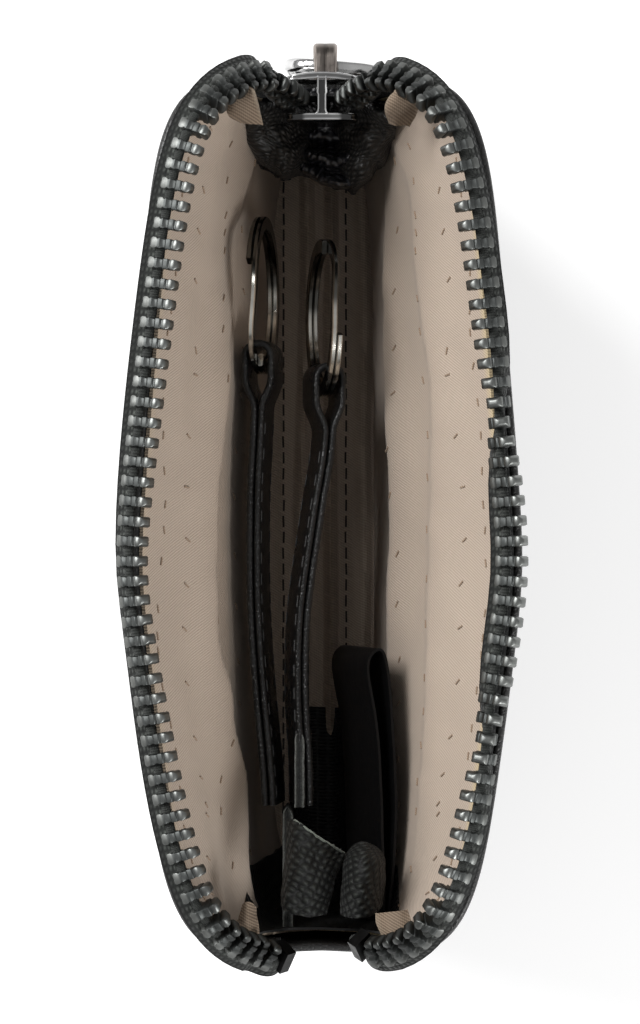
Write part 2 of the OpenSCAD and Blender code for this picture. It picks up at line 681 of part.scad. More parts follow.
module ribbon_label() {
    path = smooth_path([for (p = ribbon_path_shares)
        ribbon_root + [p[0] * ribbon_l, p[1] * base_w / 2 * 1.35]], path_steps);
    color("#0f0f11") translate([0, ribbon_root.y, strap_z - 0.05 * strap_w])
        rotate([ribbon_tilt, 0, 0]) translate([0, -ribbon_root.y, -ribbon_w / 2])
            linear_extrude(ribbon_w) polygon(strip(path, ribbon_t));
}

panel(BACK);  // panel_back
panel(FRONT);  // panel_front
base_gusset();
base_stiffener();
lining(BACK);  // lining_back
lining(FRONT);  // lining_front
lining_base();
tape(BACK);  // tape_back
tape(FRONT);  // tape_front
teeth(BACK);  // teeth_back
teeth(FRONT);  // teeth_front
top_stop(BACK);  // top_stop_back
top_stop(FRONT);  // top_stop_front
bottom_stop();
slider_body();
slider_crown();
pull_tab();
strap_anchor();
strap(BACK);  // strap_back
strap(FRONT);  // strap_front
split_ring(BACK);  // ring_back
split_ring(FRONT);  // ring_front
ribbon_label();
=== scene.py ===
"""Dresses a small leather key case, seen from above with its zip open.

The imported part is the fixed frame. Every piece here sits where the part's own sizes put it, in metres, with X along
the case towards the slider, Y towards the back wall and Z up through the open mouth.
"""

from __future__ import annotations

import json
import logging
from dataclasses import dataclass, field
from enum import Enum
from math import copysign, cos, exp, hypot, pi, radians, sin, sqrt
from typing import Callable, Iterable, Sequence

import bpy
from mathutils import Matrix, Vector
from mathutils import noise as field_noise

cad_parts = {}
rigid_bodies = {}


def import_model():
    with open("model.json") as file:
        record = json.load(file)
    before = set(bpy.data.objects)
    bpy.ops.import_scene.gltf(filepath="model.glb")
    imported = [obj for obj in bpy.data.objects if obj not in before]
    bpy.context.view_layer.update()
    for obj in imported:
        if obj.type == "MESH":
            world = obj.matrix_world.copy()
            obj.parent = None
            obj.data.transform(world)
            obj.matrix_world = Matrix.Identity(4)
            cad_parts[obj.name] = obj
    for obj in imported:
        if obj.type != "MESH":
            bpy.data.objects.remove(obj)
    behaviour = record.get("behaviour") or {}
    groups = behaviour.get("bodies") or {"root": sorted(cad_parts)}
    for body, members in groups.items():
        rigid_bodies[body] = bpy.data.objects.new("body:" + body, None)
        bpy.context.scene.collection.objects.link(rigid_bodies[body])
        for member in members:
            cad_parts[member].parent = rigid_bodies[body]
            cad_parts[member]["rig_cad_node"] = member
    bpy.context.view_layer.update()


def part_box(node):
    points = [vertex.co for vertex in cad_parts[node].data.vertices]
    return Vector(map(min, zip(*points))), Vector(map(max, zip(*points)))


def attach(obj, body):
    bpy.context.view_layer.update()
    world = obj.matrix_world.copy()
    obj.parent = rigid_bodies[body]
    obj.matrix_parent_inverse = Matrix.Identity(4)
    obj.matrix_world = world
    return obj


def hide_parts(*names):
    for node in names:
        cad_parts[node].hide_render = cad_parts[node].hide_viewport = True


LOG = logging.getLogger("key_case")
MM = 0.001

# The view of the picture, in millimetres and pixels
PIXEL_AT_MOUTH = 0.1256
CAMERA_HEIGHT = 565.0
CAMERA_DISTANCE = 500.0
LOOK_AT = (0.2, 0.25)
PICTURE_CENTRE = (320.0, 512.0)

CROWDING = 1.5
SAME_POINT = 1e-7

Point = Vector
Section = list[Point]
Pair = tuple[float, float]
Triple = tuple[float, float, float]
Obj = bpy.types.Object
Socket = bpy.types.NodeSocket
Material = bpy.types.Material


class Side(Enum):
    """One of the two long walls of the case."""

    FRONT = "front"
    BACK = "back"

    def __str__(self) -> str:
        """Name of the wall, as the pieces and nodes bear it."""
        return self.value

    @property
    def sign(self) -> float:
        """Direction of the wall along Y."""
        return 1.0 if self is Side.BACK else -1.0


class Weave(Enum):
    """How the threads of a cloth run."""

    TWILL = "twill"
    RIB = "rib"
    SATIN = "satin"


def mix(a: float, b: float, t: float) -> float:
    """Value between a and b at share t."""
    return a + (b - a) * t


def ease(t: float) -> float:
    """Smooth step from 0 to 1, held outside that range."""
    t = min(1.0, max(0.0, t))
    return t * t * (3.0 - 2.0 * t)


def bump(v: float, centre: float, width: float) -> float:
    """Bell curve of height 1 round a centre."""
    return exp(-(((v - centre) / width) ** 2))


def ripple(x: float, y: float, z: float) -> float:
    """Smooth repeatable unevenness between about -1 and 1."""
    return field_noise.noise(Vector((x, y, z)))


def spline(points: Sequence[Vector], fine: int) -> list[Vector]:
    """Smooth curve through points, with a number of steps between two of them."""
    p = [2 * points[0] - points[1], *points, 2 * points[-1] - points[-2]]
    out = []
    for i in range(1, len(p) - 2):
        for k in range(fine):
            t = k / fine
            out.append(0.5 * (2 * p[i] + t * (p[i + 1] - p[i - 1])
                              + t * t * (2 * p[i - 1] - 5 * p[i] + 4 * p[i + 1] - p[i + 2])
                              + t**3 * (3 * p[i] - p[i - 1] - 3 * p[i + 1] + p[i + 2])))
    return out + [points[-1].copy()]


def running(points: Sequence[Vector]) -> list[float]:
    """Distance of each point from the first, measured along their line."""
    out = [0.0]
    for a, b in zip(points, points[1:]):
        out.append(out[-1] + (b - a).length)
    return out


def sweep(t: float, power: float) -> float:
    """Direction in degrees at a share from 0 at the slider to 2 at the stop, moving slowly near both."""
    return 90 * t**power if t <= 1 else 180 - 90 * (2 - t) ** power


def spread(steps: int, power: float) -> list[float]:
    """Directions from 0 to 180 degrees, closer together near the ends."""
    return [sweep(2 * i / steps, power) for i in range(steps + 1)]


def beside(line: Section, i: int) -> tuple[Vector, Vector]:
    """Heading of a level line at one of its points, and the direction to its left."""
    along = (line[min(i + 1, len(line) - 1)] - line[max(i - 1, 0)]).normalized()
    return along, Vector((-along.y, along.x, 0))


def shaded(colour: Triple, share: float) -> Triple:
    """Colour dimmed to a share of its own."""
    return tuple(share * c for c in colour)


def placed(x_axis: Vector, y_axis: Vector, z_axis: Vector, at: Vector) -> Matrix:
    """Frame with the given axes at a point."""
    frame = Matrix((x_axis, y_axis, z_axis)).transposed().to_4x4()
    frame.translation = at
    return frame


def seen(px: float, py: float, z: float) -> Point:
    """Point of the case, in millimetres, at a place of the picture and a height."""
    step = PIXEL_AT_MOUTH * (CAMERA_HEIGHT - z) / CAMERA_DISTANCE
    return Vector((LOOK_AT[0] + (PICTURE_CENTRE[1] - py) * step, LOOK_AT[1] + (PICTURE_CENTRE[0] - px) * step, z))


# Forms shared by the pieces


@dataclass(frozen=True)
class CaseForm:
    """Outer form of the leather, in millimetres, as the part draws it."""

    length: float = 117.0
    mouth_width: float = 51.5
    base_length: float = 109.0
    base_width: float = 20.0
    rim_height: float = 61.0
    slider_end_height: float = 30.0
    stop_end_height: float = 42.0
    base_radius: float = 2.5
    slider_tuck: float = 2.7
    stop_tuck: float = 1.0
    leather: float = 1.2
    tape: float = 0.6
    lining: float = 0.5
    seam_gap: float = 0.15
    flare: float = 2.2
    bulge_share: float = 0.5
    plan_q: float = 3.2
    widest: float = -0.1
    widest_blend: float = 0.12
    tapers: Pair = (0.2, 0.33)
    tuck_deg: float = 26.0
    dip_deg: float = 12.0

    @property
    def tape_in(self) -> float:
        """Depth of the middle of the tape inside the leather."""
        return self.leather + self.seam_gap + self.tape / 2

    @property
    def lining_in(self) -> float:
        """Depth of the outer face of the lining inside the leather."""
        return self.leather + self.tape + 2 * self.seam_gap

    @property
    def floor(self) -> float:
        """Height of the lining on the floor."""
        return self.leather + 1.0 + self.lining

    def half_length(self, z: float) -> float:
        """Half length of the leather at a height."""
        rise = min(1.0, z / (self.bulge_share * self.rim_height))
        return self.base_length / 2 + (self.length - self.base_length) / 2 * sin(pi / 2 * rise)

    def half_width(self, z: float) -> float:
        """Half width of the leather at a height."""
        share = max(0.0, z) / self.rim_height
        return self.base_width / 2 + (self.mouth_width - self.base_width) / 2 * share**self.flare

    def from_end(self, a: float) -> float:
        """Degrees between a direction and the nearer end of the case."""
        return min(a, 180.0 - a)

    def tuck(self, a: float, z: float) -> float:
        """Shift along X of an end that is drawn in."""
        depth = self.slider_tuck if a < 90 else -self.stop_tuck
        near = max(0.0, 1 - self.from_end(a) / self.tuck_deg) ** 2
        return depth * near * min(1.0, max(0.0, z) / (self.bulge_share * self.rim_height)) ** 1.5

    def rim(self, a: float) -> float:
        """Height of the leather rim at a direction."""
        end = self.slider_end_height if a < 90 else self.stop_end_height
        return self.rim_height - (self.rim_height - end) / (1 + (self.from_end(a) / self.dip_deg) ** 4)

    def tapered(self, at: float, shares: Pair) -> float:
        """Share of the full width at a place along the case, from -1 to 1, for the tapers of its two ends."""
        share = shares[0 if at > self.widest else 1]
        return 1 - share * (hypot(at - self.widest, self.widest_blend) - self.widest_blend)

    def plan(self, a: float, z: float) -> Pair:
        """Outer point of the back wall at a direction and height, before its end is drawn in."""
        up = min(1.0, max(0.0, z) / self.rim_height)
        cosine = cos(radians(a))
        corner = max(0.0, 1 - abs(cosine) ** mix(10.0, 5.0, (1 - up) ** 2)) ** (1 / self.plan_q)
        tapers = self.tapers[0] * up**1.5, self.tapers[1] * up**1.5
        return self.half_length(z) * cosine, self.half_width(z) * corner * self.tapered(cosine, tapers)

    def wall(self, a: float, z: float, depth: float) -> Point:
        """Point of the back wall.

        Args:
            a: direction round the plan, 0 at the slider and 180 at the stop, in degrees.
            z: height in millimetres.
            depth: distance inside the outer face of the leather.

        Returns:
            The point, in millimetres.
        """
        x, y = self.plan(a, z)
        nx, ny = copysign(1.0, 90 - a), 0.0
        if self.from_end(a) >= 0.5:
            ahead, behind = self.plan(min(180.0, a + 0.5), z), self.plan(max(0.0, a - 0.5), z)
            nx, ny = ahead[1] - behind[1], behind[0] - ahead[0]
        size = hypot(nx, ny)
        turned = 0.0
        if z < self.base_radius:
            turned = self.base_radius - sqrt(max(0.0, self.base_radius**2 - (self.base_radius - z) ** 2))
        inward = depth + turned
        return Vector((x - inward * nx / size - self.tuck(a, z), y - inward * ny / size, z))

    def outward(self, a: float, z: float) -> Vector:
        """Unit vector that points out of the back wall at a direction and height."""
        return (self.wall(a, z, 0.0) - self.wall(a, z, 1.0)).normalized()


@dataclass(frozen=True)
class ChainForm:
    """Path of the zip chain and the way its teeth lean, in millimetres."""

    case: CaseForm = CaseForm()
    rise: float = 4.0
    inset: float = 1.95
    tapers: Pair = (0.3, 0.44)
    pitch: float = 2.5
    tooth_length: float = 4.5
    tooth_width: float = 1.3
    tooth_depth: float = 2.7
    leave_deg: float = 12.0
    settle_deg: float = 36.0
    hem_end_deg: float = 6.0
    samples: int = 160

    @property
    def half_length(self) -> float:
        """Half length of the chain line along the mouth."""
        return self.case.length / 2 - 1.15 * self.case.leather

    @property
    def height(self) -> float:
        """Height of the chain line along the long sides."""
        return self.case.rim_height + self.rise

    @property
    def slider_x(self) -> float:
        """Place of the slider along the case."""
        return self.case.length / 2 - self.case.slider_tuck - 1.2 * self.case.leather

    @property
    def slider_z(self) -> float:
        """Height of the lower end of the slider."""
        return self.case.slider_end_height + 4.0

    def along_rim(self, a: float) -> Point:
        """Point of the chain line over the rim at a direction."""
        near = max(0.0, (self.settle_deg - self.case.from_end(a)) / (self.settle_deg - self.leave_deg))
        half_w = self.case.mouth_width / 2 - self.inset
        cosine = cos(radians(a))
        corner = max(0.0, 1 - abs(cosine) ** 8) ** (1 / 3)
        return Vector((self.half_length * cosine, half_w * corner * self.case.tapered(cosine, self.tapers),
                       self.height - 2 * self.tooth_length * near**2))

    def leaving(self, a: float, step: float) -> Vector:
        """Heading of the chain line where it leaves the rim."""
        return (self.along_rim(a + step) - self.along_rim(a)).normalized()

    def slider_curve(self) -> list[Point]:
        """Control points of the path from the rim down to the slider."""
        start = self.along_rim(self.leave_deg)
        mouth = Vector((self.slider_x, 1.5 / 2 + 0.3 + 0.6 * self.tooth_length,
                        self.slider_z + 10.5 - 0.6 * self.tooth_width))
        heading = Vector((-0.1, -0.25, -1.0)).normalized()
        return [start, start + 1.1 * self.tooth_length * self.leaving(self.leave_deg, -1),
                mouth - 1.6 * self.tooth_length * heading, mouth]

    def stop_curve(self, side: Side) -> list[Point]:
        """Control points of the path from the rim down to the stop end of one row."""
        start = self.along_rim(180 - self.leave_deg)
        share = 0.985 if side is Side.BACK else 0.955
        stop = Vector((-share * self.half_length, 0.78 * self.tooth_length, self.height - 3.2 * self.tooth_length))
        heading = Vector((0.5, -0.8, -1.0)).normalized()
        return [start, start + 0.8 * self.tooth_length * self.leaving(180 - self.leave_deg, 1),
                stop - self.tooth_length * heading, stop]

    def direction(self, s: float) -> float:
        """Direction round the plan at a share of the rim part of the path."""
        edge = (self.leave_deg / 90) ** (1 / CROWDING)
        return sweep(mix(edge, 2 - edge, s), CROWDING)

    def at(self, side: Side, s: float) -> Point:
        """Point of the back row's path.

        Args:
            side: the row that the path belongs to.
            s: below 0 down to the slider, 0 to 1 along the rim, above 1 to the stop end.

        Returns:
            The point, in millimetres.
        """
        if 0 <= s <= 1:
            return self.along_rim(self.direction(s))
        p = self.slider_curve() if s < 0 else self.stop_curve(side)
        t = -s if s < 0 else s - 1
        return (1 - t) ** 3 * p[0] + 3 * t * (1 - t) ** 2 * p[1] + 3 * t**2 * (1 - t) * p[2] + t**3 * p[3]

    def heading(self, side: Side, s: float) -> Vector:
        """Direction of the path at a place."""
        return (self.at(side, min(2.0, s + 0.004)) - self.at(side, max(-1.0, s - 0.004))).normalized()

    def roll(self, side: Side, x: float) -> float:
        """Degrees that a tooth's head is rolled up out of the level."""
        share = x / self.case.length
        if side is Side.BACK:
            return 20 + 30 * bump(share, -0.1, 0.17)
        return 34 + 108 * exp(-(((share + 0.07) / 0.19) ** 4))

    def lean(self, side: Side, s: float) -> Vector:
        """Direction from the legs to the head of a tooth at a place of the path."""
        along = self.heading(side, s)
        level = Vector((-along.y, along.x, 0.0)).normalized()
        roll = radians(self.roll(side, self.at(side, s).x))
        held = cos(roll) * level + Vector((0.0, 0.0, sin(roll)))
        inward = Vector((0.0, -1.0, 0.0))
        if s < 0:
            held = held.lerp(inward, sin(-pi / 2 * s))
        elif s > 1:
            held = held.lerp(inward, 0.6 * (s - 1))
        return (held - held.dot(along) * along).normalized()

    def places(self, side: Side) -> list[float]:
        """Places of the teeth along the path, one pitch apart."""
        params = [-1 + 3 * i / self.samples for i in range(self.samples + 1)]
        lengths = running([self.at(side, s) for s in params])
        count = int((lengths[-1] - 1.2 * self.pitch) / self.pitch)
        found, k = [], 0
        for i in range(count + 1):
            want = (i + 0.1) * self.pitch
            while lengths[k + 1] < want:
                k += 1
            t = (want - lengths[k]) / (lengths[k + 1] - lengths[k])
            found.append(mix(params[k], params[k + 1], t))
        return found

    def stand(self, side: Side, s: float) -> Matrix:
        """Frame of a tooth on the back row's path: X along the chain, Y towards its head."""
        along, lean = self.heading(side, s), self.lean(side, s)
        return placed(along, lean, along.cross(lean), self.at(side, s))


# Modelling bench


class Bench:
    """Models pieces with Blender's own operators, one object at a time."""

    @staticmethod
    def clear() -> None:
        """Leaves edit mode and deselects everything."""
        if bpy.context.object and bpy.context.object.mode != "OBJECT":
            bpy.ops.object.mode_set(mode="OBJECT")
        bpy.ops.object.select_all(action="DESELECT")

    @staticmethod
    def take(name: str) -> Obj:
        """Names the object that was just added."""
        obj = bpy.context.object
        obj.name = name
        obj.data.name = name
        return obj

    @staticmethod
    def everything() -> None:
        """Selects the whole mesh in edit mode."""
        bpy.ops.mesh.select_all(action="SELECT")

    @classmethod
    def only(cls, obj: Obj) -> None:
        """Selects one object and makes it active."""
        cls.clear()
        obj.select_set(True)
        bpy.context.view_layer.objects.active = obj

    @classmethod
    def edit(cls, obj: Obj, mode: str = "VERT") -> None:
        """Enters edit mode with nothing selected."""
        cls.only(obj)
        bpy.ops.object.mode_set(mode="EDIT")
        bpy.ops.mesh.select_mode(type=mode)
        bpy.ops.mesh.select_all(action="DESELECT")

    @classmethod
    def pick(cls, obj: Obj, test: Callable[[Vector], bool], mode: str = "VERT") -> None:
        """Selects vertices or faces by their place, and stays in edit mode.

        Args:
            obj: the object to select on.
            test: says whether a vertex, or a face by its centre, is taken.
            mode: VERT or FACE.
        """
        bpy.ops.object.mode_set(mode="OBJECT")
        for group in (obj.data.vertices, obj.data.edges, obj.data.polygons):
            group.foreach_set("select", [False] * len(group))
        if mode == "VERT":
            for v in obj.data.vertices:
                v.select = test(v.co)
        else:
            for p in obj.data.polygons:
                p.select = test(p.center)
        bpy.ops.object.mode_set(mode="EDIT")
        bpy.ops.mesh.select_mode(type=mode)

    @classmethod
    def close(cls) -> None:
        """Merges doubles, turns the faces outwards and leaves edit mode."""
        Bench.everything()
        bpy.ops.mesh.remove_doubles(threshold=SAME_POINT)
        bpy.ops.mesh.normals_make_consistent(inside=False)
        bpy.ops.object.mode_set(mode="OBJECT")

    @classmethod
    def apply(cls, obj: Obj, kind: str, **settings: object) -> None:
        """Adds a modifier, sets it and applies it."""
        cls.only(obj)
        modifier = obj.modifiers.new(kind.title(), kind)
        for key, value in settings.items():
            setattr(modifier, key, value)
        if kind == "SUBSURF":
            modifier.render_levels = modifier.levels
        bpy.ops.object.modifier_apply(modifier=modifier.name)

    @classmethod
    def cloth(cls, obj: Obj, thickness: float, side: Side = Side.BACK, offset: float = 0.0) -> None:
        """Gives a skin the thickness of a cloth, puts it at its wall and shades it smooth."""
        cls.apply(obj, "SOLIDIFY", thickness=thickness * MM, offset=offset)
        cls.set_side(obj, side)
        cls.smooth(obj, 60)

    @classmethod
    def smooth(cls, obj: Obj, angle: float = 40.0) -> None:
        """Shades an object smooth, with creases where its faces meet at a sharper angle."""
        cls.only(obj)
        bpy.ops.object.shade_smooth_by_angle(angle=radians(angle))

    @classmethod
    def loft(cls, name: str, rows: Sequence[Section], closed: bool = False, caps: bool = False,
             uv: Callable[[int, int], Pair] | None = None,
             marks: dict[str, Callable[[int, int], float]] | None = None) -> Obj:
        """Makes a skin over rows of points in millimetres.

        Args:
            name: name of the piece.
            rows: cross-sections with the same number of points each.
            closed: whether each cross-section is a closed outline.
            caps: whether the first and last outlines are filled.
            uv: place of a point on the cloth, in metres, by row and column.
            marks: numbers stored on the points for the material to read, by row and column.

        Returns:
            The new object.
        """
        rows = [list(row) + ([row[0]] if closed else []) for row in rows]
        n, m = len(rows), len(rows[0])
        cls.clear()
        bpy.ops.mesh.primitive_grid_add(x_subdivisions=m - 1, y_subdivisions=n - 1, size=2.0, calc_uvs=True)
        obj = cls.take(name)
        mesh = obj.data
        places = [(round((v.co.y + 1) / 2 * (n - 1)), round((v.co.x + 1) / 2 * (m - 1))) for v in mesh.vertices]
        layer = mesh.uv_layers[0]
        layer.name = "cloth"
        for loop in mesh.loops:
            i, j = places[loop.vertex_index]
            layer.data[loop.index].uv = uv(i, j) if uv else (j / (m - 1), i / (n - 1))
        for v, (i, j) in zip(mesh.vertices, places):
            v.co = rows[i][j] * MM
        for key, value in (marks or {}).items():
            stored = mesh.attributes.new(key, "FLOAT", "POINT")
            stored.data.foreach_set("value", [value(i, j) for i, j in places])
        mesh.update()
        if closed:
            cls.edit(obj)
            Bench.everything()
            bpy.ops.mesh.remove_doubles(threshold=SAME_POINT)
            if caps:
                bpy.ops.mesh.select_all(action="DESELECT")
                bpy.ops.mesh.select_non_manifold(extend=False, use_wire=False, use_multi_face=False,
                                                 use_non_contiguous=False, use_verts=False)
                bpy.ops.mesh.fill_holes(sides=0)
            Bench.everything()
            bpy.ops.mesh.normals_make_consistent(inside=False)
            bpy.ops.object.mode_set(mode="OBJECT")
        return obj

    @classmethod
    def tube(cls, name: str, path: Section, radii: Sequence[float] | float, sides: int = 10,
             closed: bool = False, flat: float = 1.0) -> Obj:
        """Makes a round cord along a path in millimetres.

        Args:
            name: name of the piece.
            path: points that the middle of the cord follows.
            radii: one radius, or one for each point.
            sides: points round the cord.
            closed: whether the path is a loop.
            flat: height of the cord's section as a share of its width.

        Returns:
            The new object.
        """
        n = len(path)
        sizes = [radii] * n if isinstance(radii, (int, float)) else list(radii)
        rows = []
        across = None
        for i in range(n):
            before = path[i - 1] if i or closed else path[0]
            after = path[(i + 1) % n] if i < n - 1 or closed else path[-1]
            along = (after - before).normalized()
            if across is None:
                across = along.orthogonal().normalized()
            across = (across - across.dot(along) * along).normalized()
            up = along.cross(across)
            rows.append([path[i] + sizes[i] * (cos(t) * across + flat * sin(t) * up)
                         for t in (2 * pi * k / sides for k in range(sides))])
        if closed:
            rows.append(rows[0])
        return cls.loft(name, rows, closed=True, caps=not closed)

    @classmethod
    def quilt(cls, name: str, controls: Sequence[Section], fine: int, thickness: float, crumple: float = 0.0,
              seed: float = 0.0, hem: Callable[[float, float], float] | None = None) -> Obj:
        """Makes a free sheet through a coarse grid of points in millimetres.

        Args:
            name: name of the piece.
            controls: rows of points that the sheet passes through.
            fine: steps between two points.
            thickness: thickness of the cloth.
            crumple: depth of its small folds.
            seed: place of the folds in their pattern.
            hem: how far a point belongs to the turned hem, by its shares down and across the sheet.

        Returns:
            The new object, with its flat layout in metres.
        """
        dense = [spline(row, fine) for row in controls]
        rows = [list(r) for r in zip(*(spline(list(column), fine) for column in zip(*dense)))]
        us = [running(row) for row in rows]
        vs = [[0.0] * len(rows[0])]
        for a, b in zip(rows, rows[1:]):
            vs.append([v + (q - p).length for v, p, q in zip(vs[-1], a, b)])
        if crumple:
            rows = [[p + crumple * Vector((ripple(p.x * 0.5, p.y * 0.5, seed), ripple(p.y * 0.6, p.x * 0.4, seed + 9),
                                           1.6 * ripple(p.x * 0.45, p.y * 0.55, seed + 4)))
                     for p in row] for row in rows]
        n, m = len(rows) - 1, len(rows[0]) - 1
        marks = {"hem": lambda i, j: hem(i / n, j / m)} if hem else None
        obj = cls.loft(name, rows, uv=lambda i, j: (us[i][j] * MM, vs[i][j] * MM), marks=marks)
        cls.cloth(obj, thickness)
        return obj

    @classmethod
    def scatter(cls, name: str, model: Obj, places: Iterable[Matrix]) -> Obj:
        """Copies a model to many places and joins the copies into one piece.

        Args:
            name: name of the joined piece.
            model: the modelled shape, in metres, which is removed.
            places: one matrix for each copy, in millimetres.

        Returns:
            The joined object.
        """
        copies = []
        to_mm, to_m = Matrix.Scale(1 / MM, 4), Matrix.Scale(MM, 4)
        for place in places:
            copy = model.copy()
            copy.data = model.data.copy()
            bpy.context.collection.objects.link(copy)
            copy.data.transform(to_m @ place @ to_mm)
            if place.determinant() < 0:
                copy.data.flip_normals()
            copies.append(copy)
        obj = cls.join(name, copies)
        bpy.data.objects.remove(model)
        cls.clear()
        return obj

    @classmethod
    def join(cls, name: str, parts: Sequence[Obj]) -> Obj:
        """Joins objects into the first of them and names it."""
        cls.clear()
        for part in parts:
            part.select_set(True)
        bpy.context.view_layer.objects.active = parts[0]
        bpy.ops.object.join()
        return cls.take(name)

    @classmethod
    def stitch(cls, name: str, length: float, radius: float, cap: float, inset: float,
               droop: float) -> Obj:
        """Models one short stitch of thread, lying along X, in millimetres.

        Args:
            name: name of the model.
            length: length of the stitch.
            radius: radius of the thread.
            cap: distance from the middle beyond which a face belongs to an end.
            inset: width that is cut off round both ends.
            droop: how far the ends dip.

        Returns:
            The stitch, with flat shading.
        """
        cls.clear()
        bpy.ops.mesh.primitive_cylinder_add(vertices=6, radius=radius * MM, depth=length * MM,
                                            rotation=(0, pi / 2, 0))
        model = cls.take(name)
        bpy.ops.object.transform_apply(rotation=True)
        cls.edit(model, "FACE")
        Bench.everything()
        bpy.ops.mesh.bisect(plane_co=(0, 0, 0), plane_no=(1, 0, 0))
        cls.pick(model, lambda c: abs(c.x) > cap * MM, "FACE")
        bpy.ops.mesh.inset(thickness=inset * MM)
        bpy.ops.transform.translate(value=(0, 0, -droop * MM))
        cls.close()
        return model

    @staticmethod
    def mark(obj: Obj, name: str, value: Callable[[Vector], float]) -> None:
        """Stores a number on each vertex, found from its place in metres, for the material to read."""
        layer = obj.data.attributes.new(name, "FLOAT", "POINT")
        layer.data.foreach_set("value", [value(v.co) for v in obj.data.vertices])

    @staticmethod
    def set_side(obj: Obj, side: Side) -> None:
        """Leaves a piece at the back wall, or mirrors it to the front wall."""
        if side is Side.FRONT:
            obj.data.transform(Matrix.Scale(-1, 4, (0, 1, 0)))
            obj.data.flip_normals()


# Finishes


class Paint:
    """A material under construction: one principled shader and the nodes that feed it."""

    def __init__(self, name: str) -> None:
        """Starts an empty material.

        Args:
            name: name of the material.
        """
        self.material = bpy.data.materials.new(f"{name}_paint")
        self.material.use_nodes = True
        self.tree = self.material.node_tree
        self.shader = self.tree.nodes["Principled BSDF"]

    def node(self, kind: str, inputs: dict[str, object] | None = None, **settings: object) -> bpy.types.Node:
        """Adds a node with its settings and inputs, which may be values or other nodes' outputs."""
        made = self.tree.nodes.new(kind)
        for key, value in settings.items():
            setattr(made, key, value)
        for key, value in (inputs or {}).items():
            self.feed(made.inputs[int(key) if key.isdigit() else key], value)
        return made

    def feed(self, socket: Socket, value: object) -> None:
        """Links another node's output to a socket, or sets the socket to a constant."""
        if isinstance(value, Socket):
            self.tree.links.new(value, socket)
        else:
            socket.default_value = value

    def set(self, **inputs: object) -> None:
        """Sets or links sockets of the shader, named with underscores for spaces."""
        for key, value in inputs.items():
            self.feed(self.shader.inputs[key.replace("_", " ")], value)

    def place(self, space: str = "Object") -> Socket:
        """Coordinates of the piece: Object, or UV for its own cloth."""
        return self.node("ShaderNodeTexCoord").outputs[space]

    def turned(self, vector: Socket, degrees: float,
               scale: Triple = (1, 1, 1)) -> Socket:
        """Coordinates turned about Z and scaled."""
        return self.node("ShaderNodeMapping", {"Vector": vector, "Rotation": (0, 0, radians(degrees)),
                                               "Scale": scale}).outputs[0]

    def noise(self, vector: Socket, scale: float, detail: float = 4.0,
              rough: float = 0.5) -> Socket:
        """Cloudy pattern."""
        return self.node("ShaderNodeTexNoise", {"Vector": vector, "Scale": scale, "Detail": detail,
                                                "Roughness": rough}).outputs["Fac"]

    def wave(self, vector: Socket, period: float, waver: float = 0.0,
             axis: str = "X") -> Socket:
        """Parallel bands one period apart, in metres."""
        return self.node("ShaderNodeTexWave", {"Vector": vector, "Scale": pi / 10 / period,
                                               "Distortion": waver, "Detail": 2.0, "Detail Scale": 1.5},
                         wave_type="BANDS", bands_direction=axis).outputs["Fac"]

    def math(self, kind: str, a: object, b: object = 0.0) -> Socket:
        """Arithmetic between two values."""
        return self.node("ShaderNodeMath", {"0": a, "1": b}, operation=kind).outputs[0]

    def level(self, fac: Socket, low: float, high: float,
              start: float = 0.0, end: float = 1.0) -> Socket:
        """Value carried from one range to another."""
        return self.node("ShaderNodeMapRange", {"Value": fac, "From Min": start, "From Max": end, "To Min": low,
                                                "To Max": high}).outputs[0]

    def blend(self, fac: object, a: object, b: object, kind: str = "MIX") -> Socket:
        """Colour mixed from two."""
        made = self.tree.nodes.new("ShaderNodeMix")
        made.data_type = "RGBA"
        made.blend_type = kind
        self.feed(made.inputs[0], fac)
        for index, value in ((6, a), (7, b)):
            self.feed(made.inputs[index], value if isinstance(value, Socket) else (*value, 1.0))
        return made.outputs[2]

    def relief(self, *layers: tuple[Socket, float, float]) -> None:
        """Raises the surface by patterns: each is a height, a strength and a depth in metres."""
        normal = None
        for height, strength, depth in layers:
            inputs = {"Height": height, "Strength": strength, "Distance": depth}
            if normal is not None:
                inputs["Normal"] = normal
            normal = self.node("ShaderNodeBump", inputs).outputs[0]
        self.set(Normal=normal)

    def attribute(self, name: str) -> Socket:
        """Number stored on the piece."""
        return self.node("ShaderNodeAttribute", attribute_name=name).outputs["Fac"]


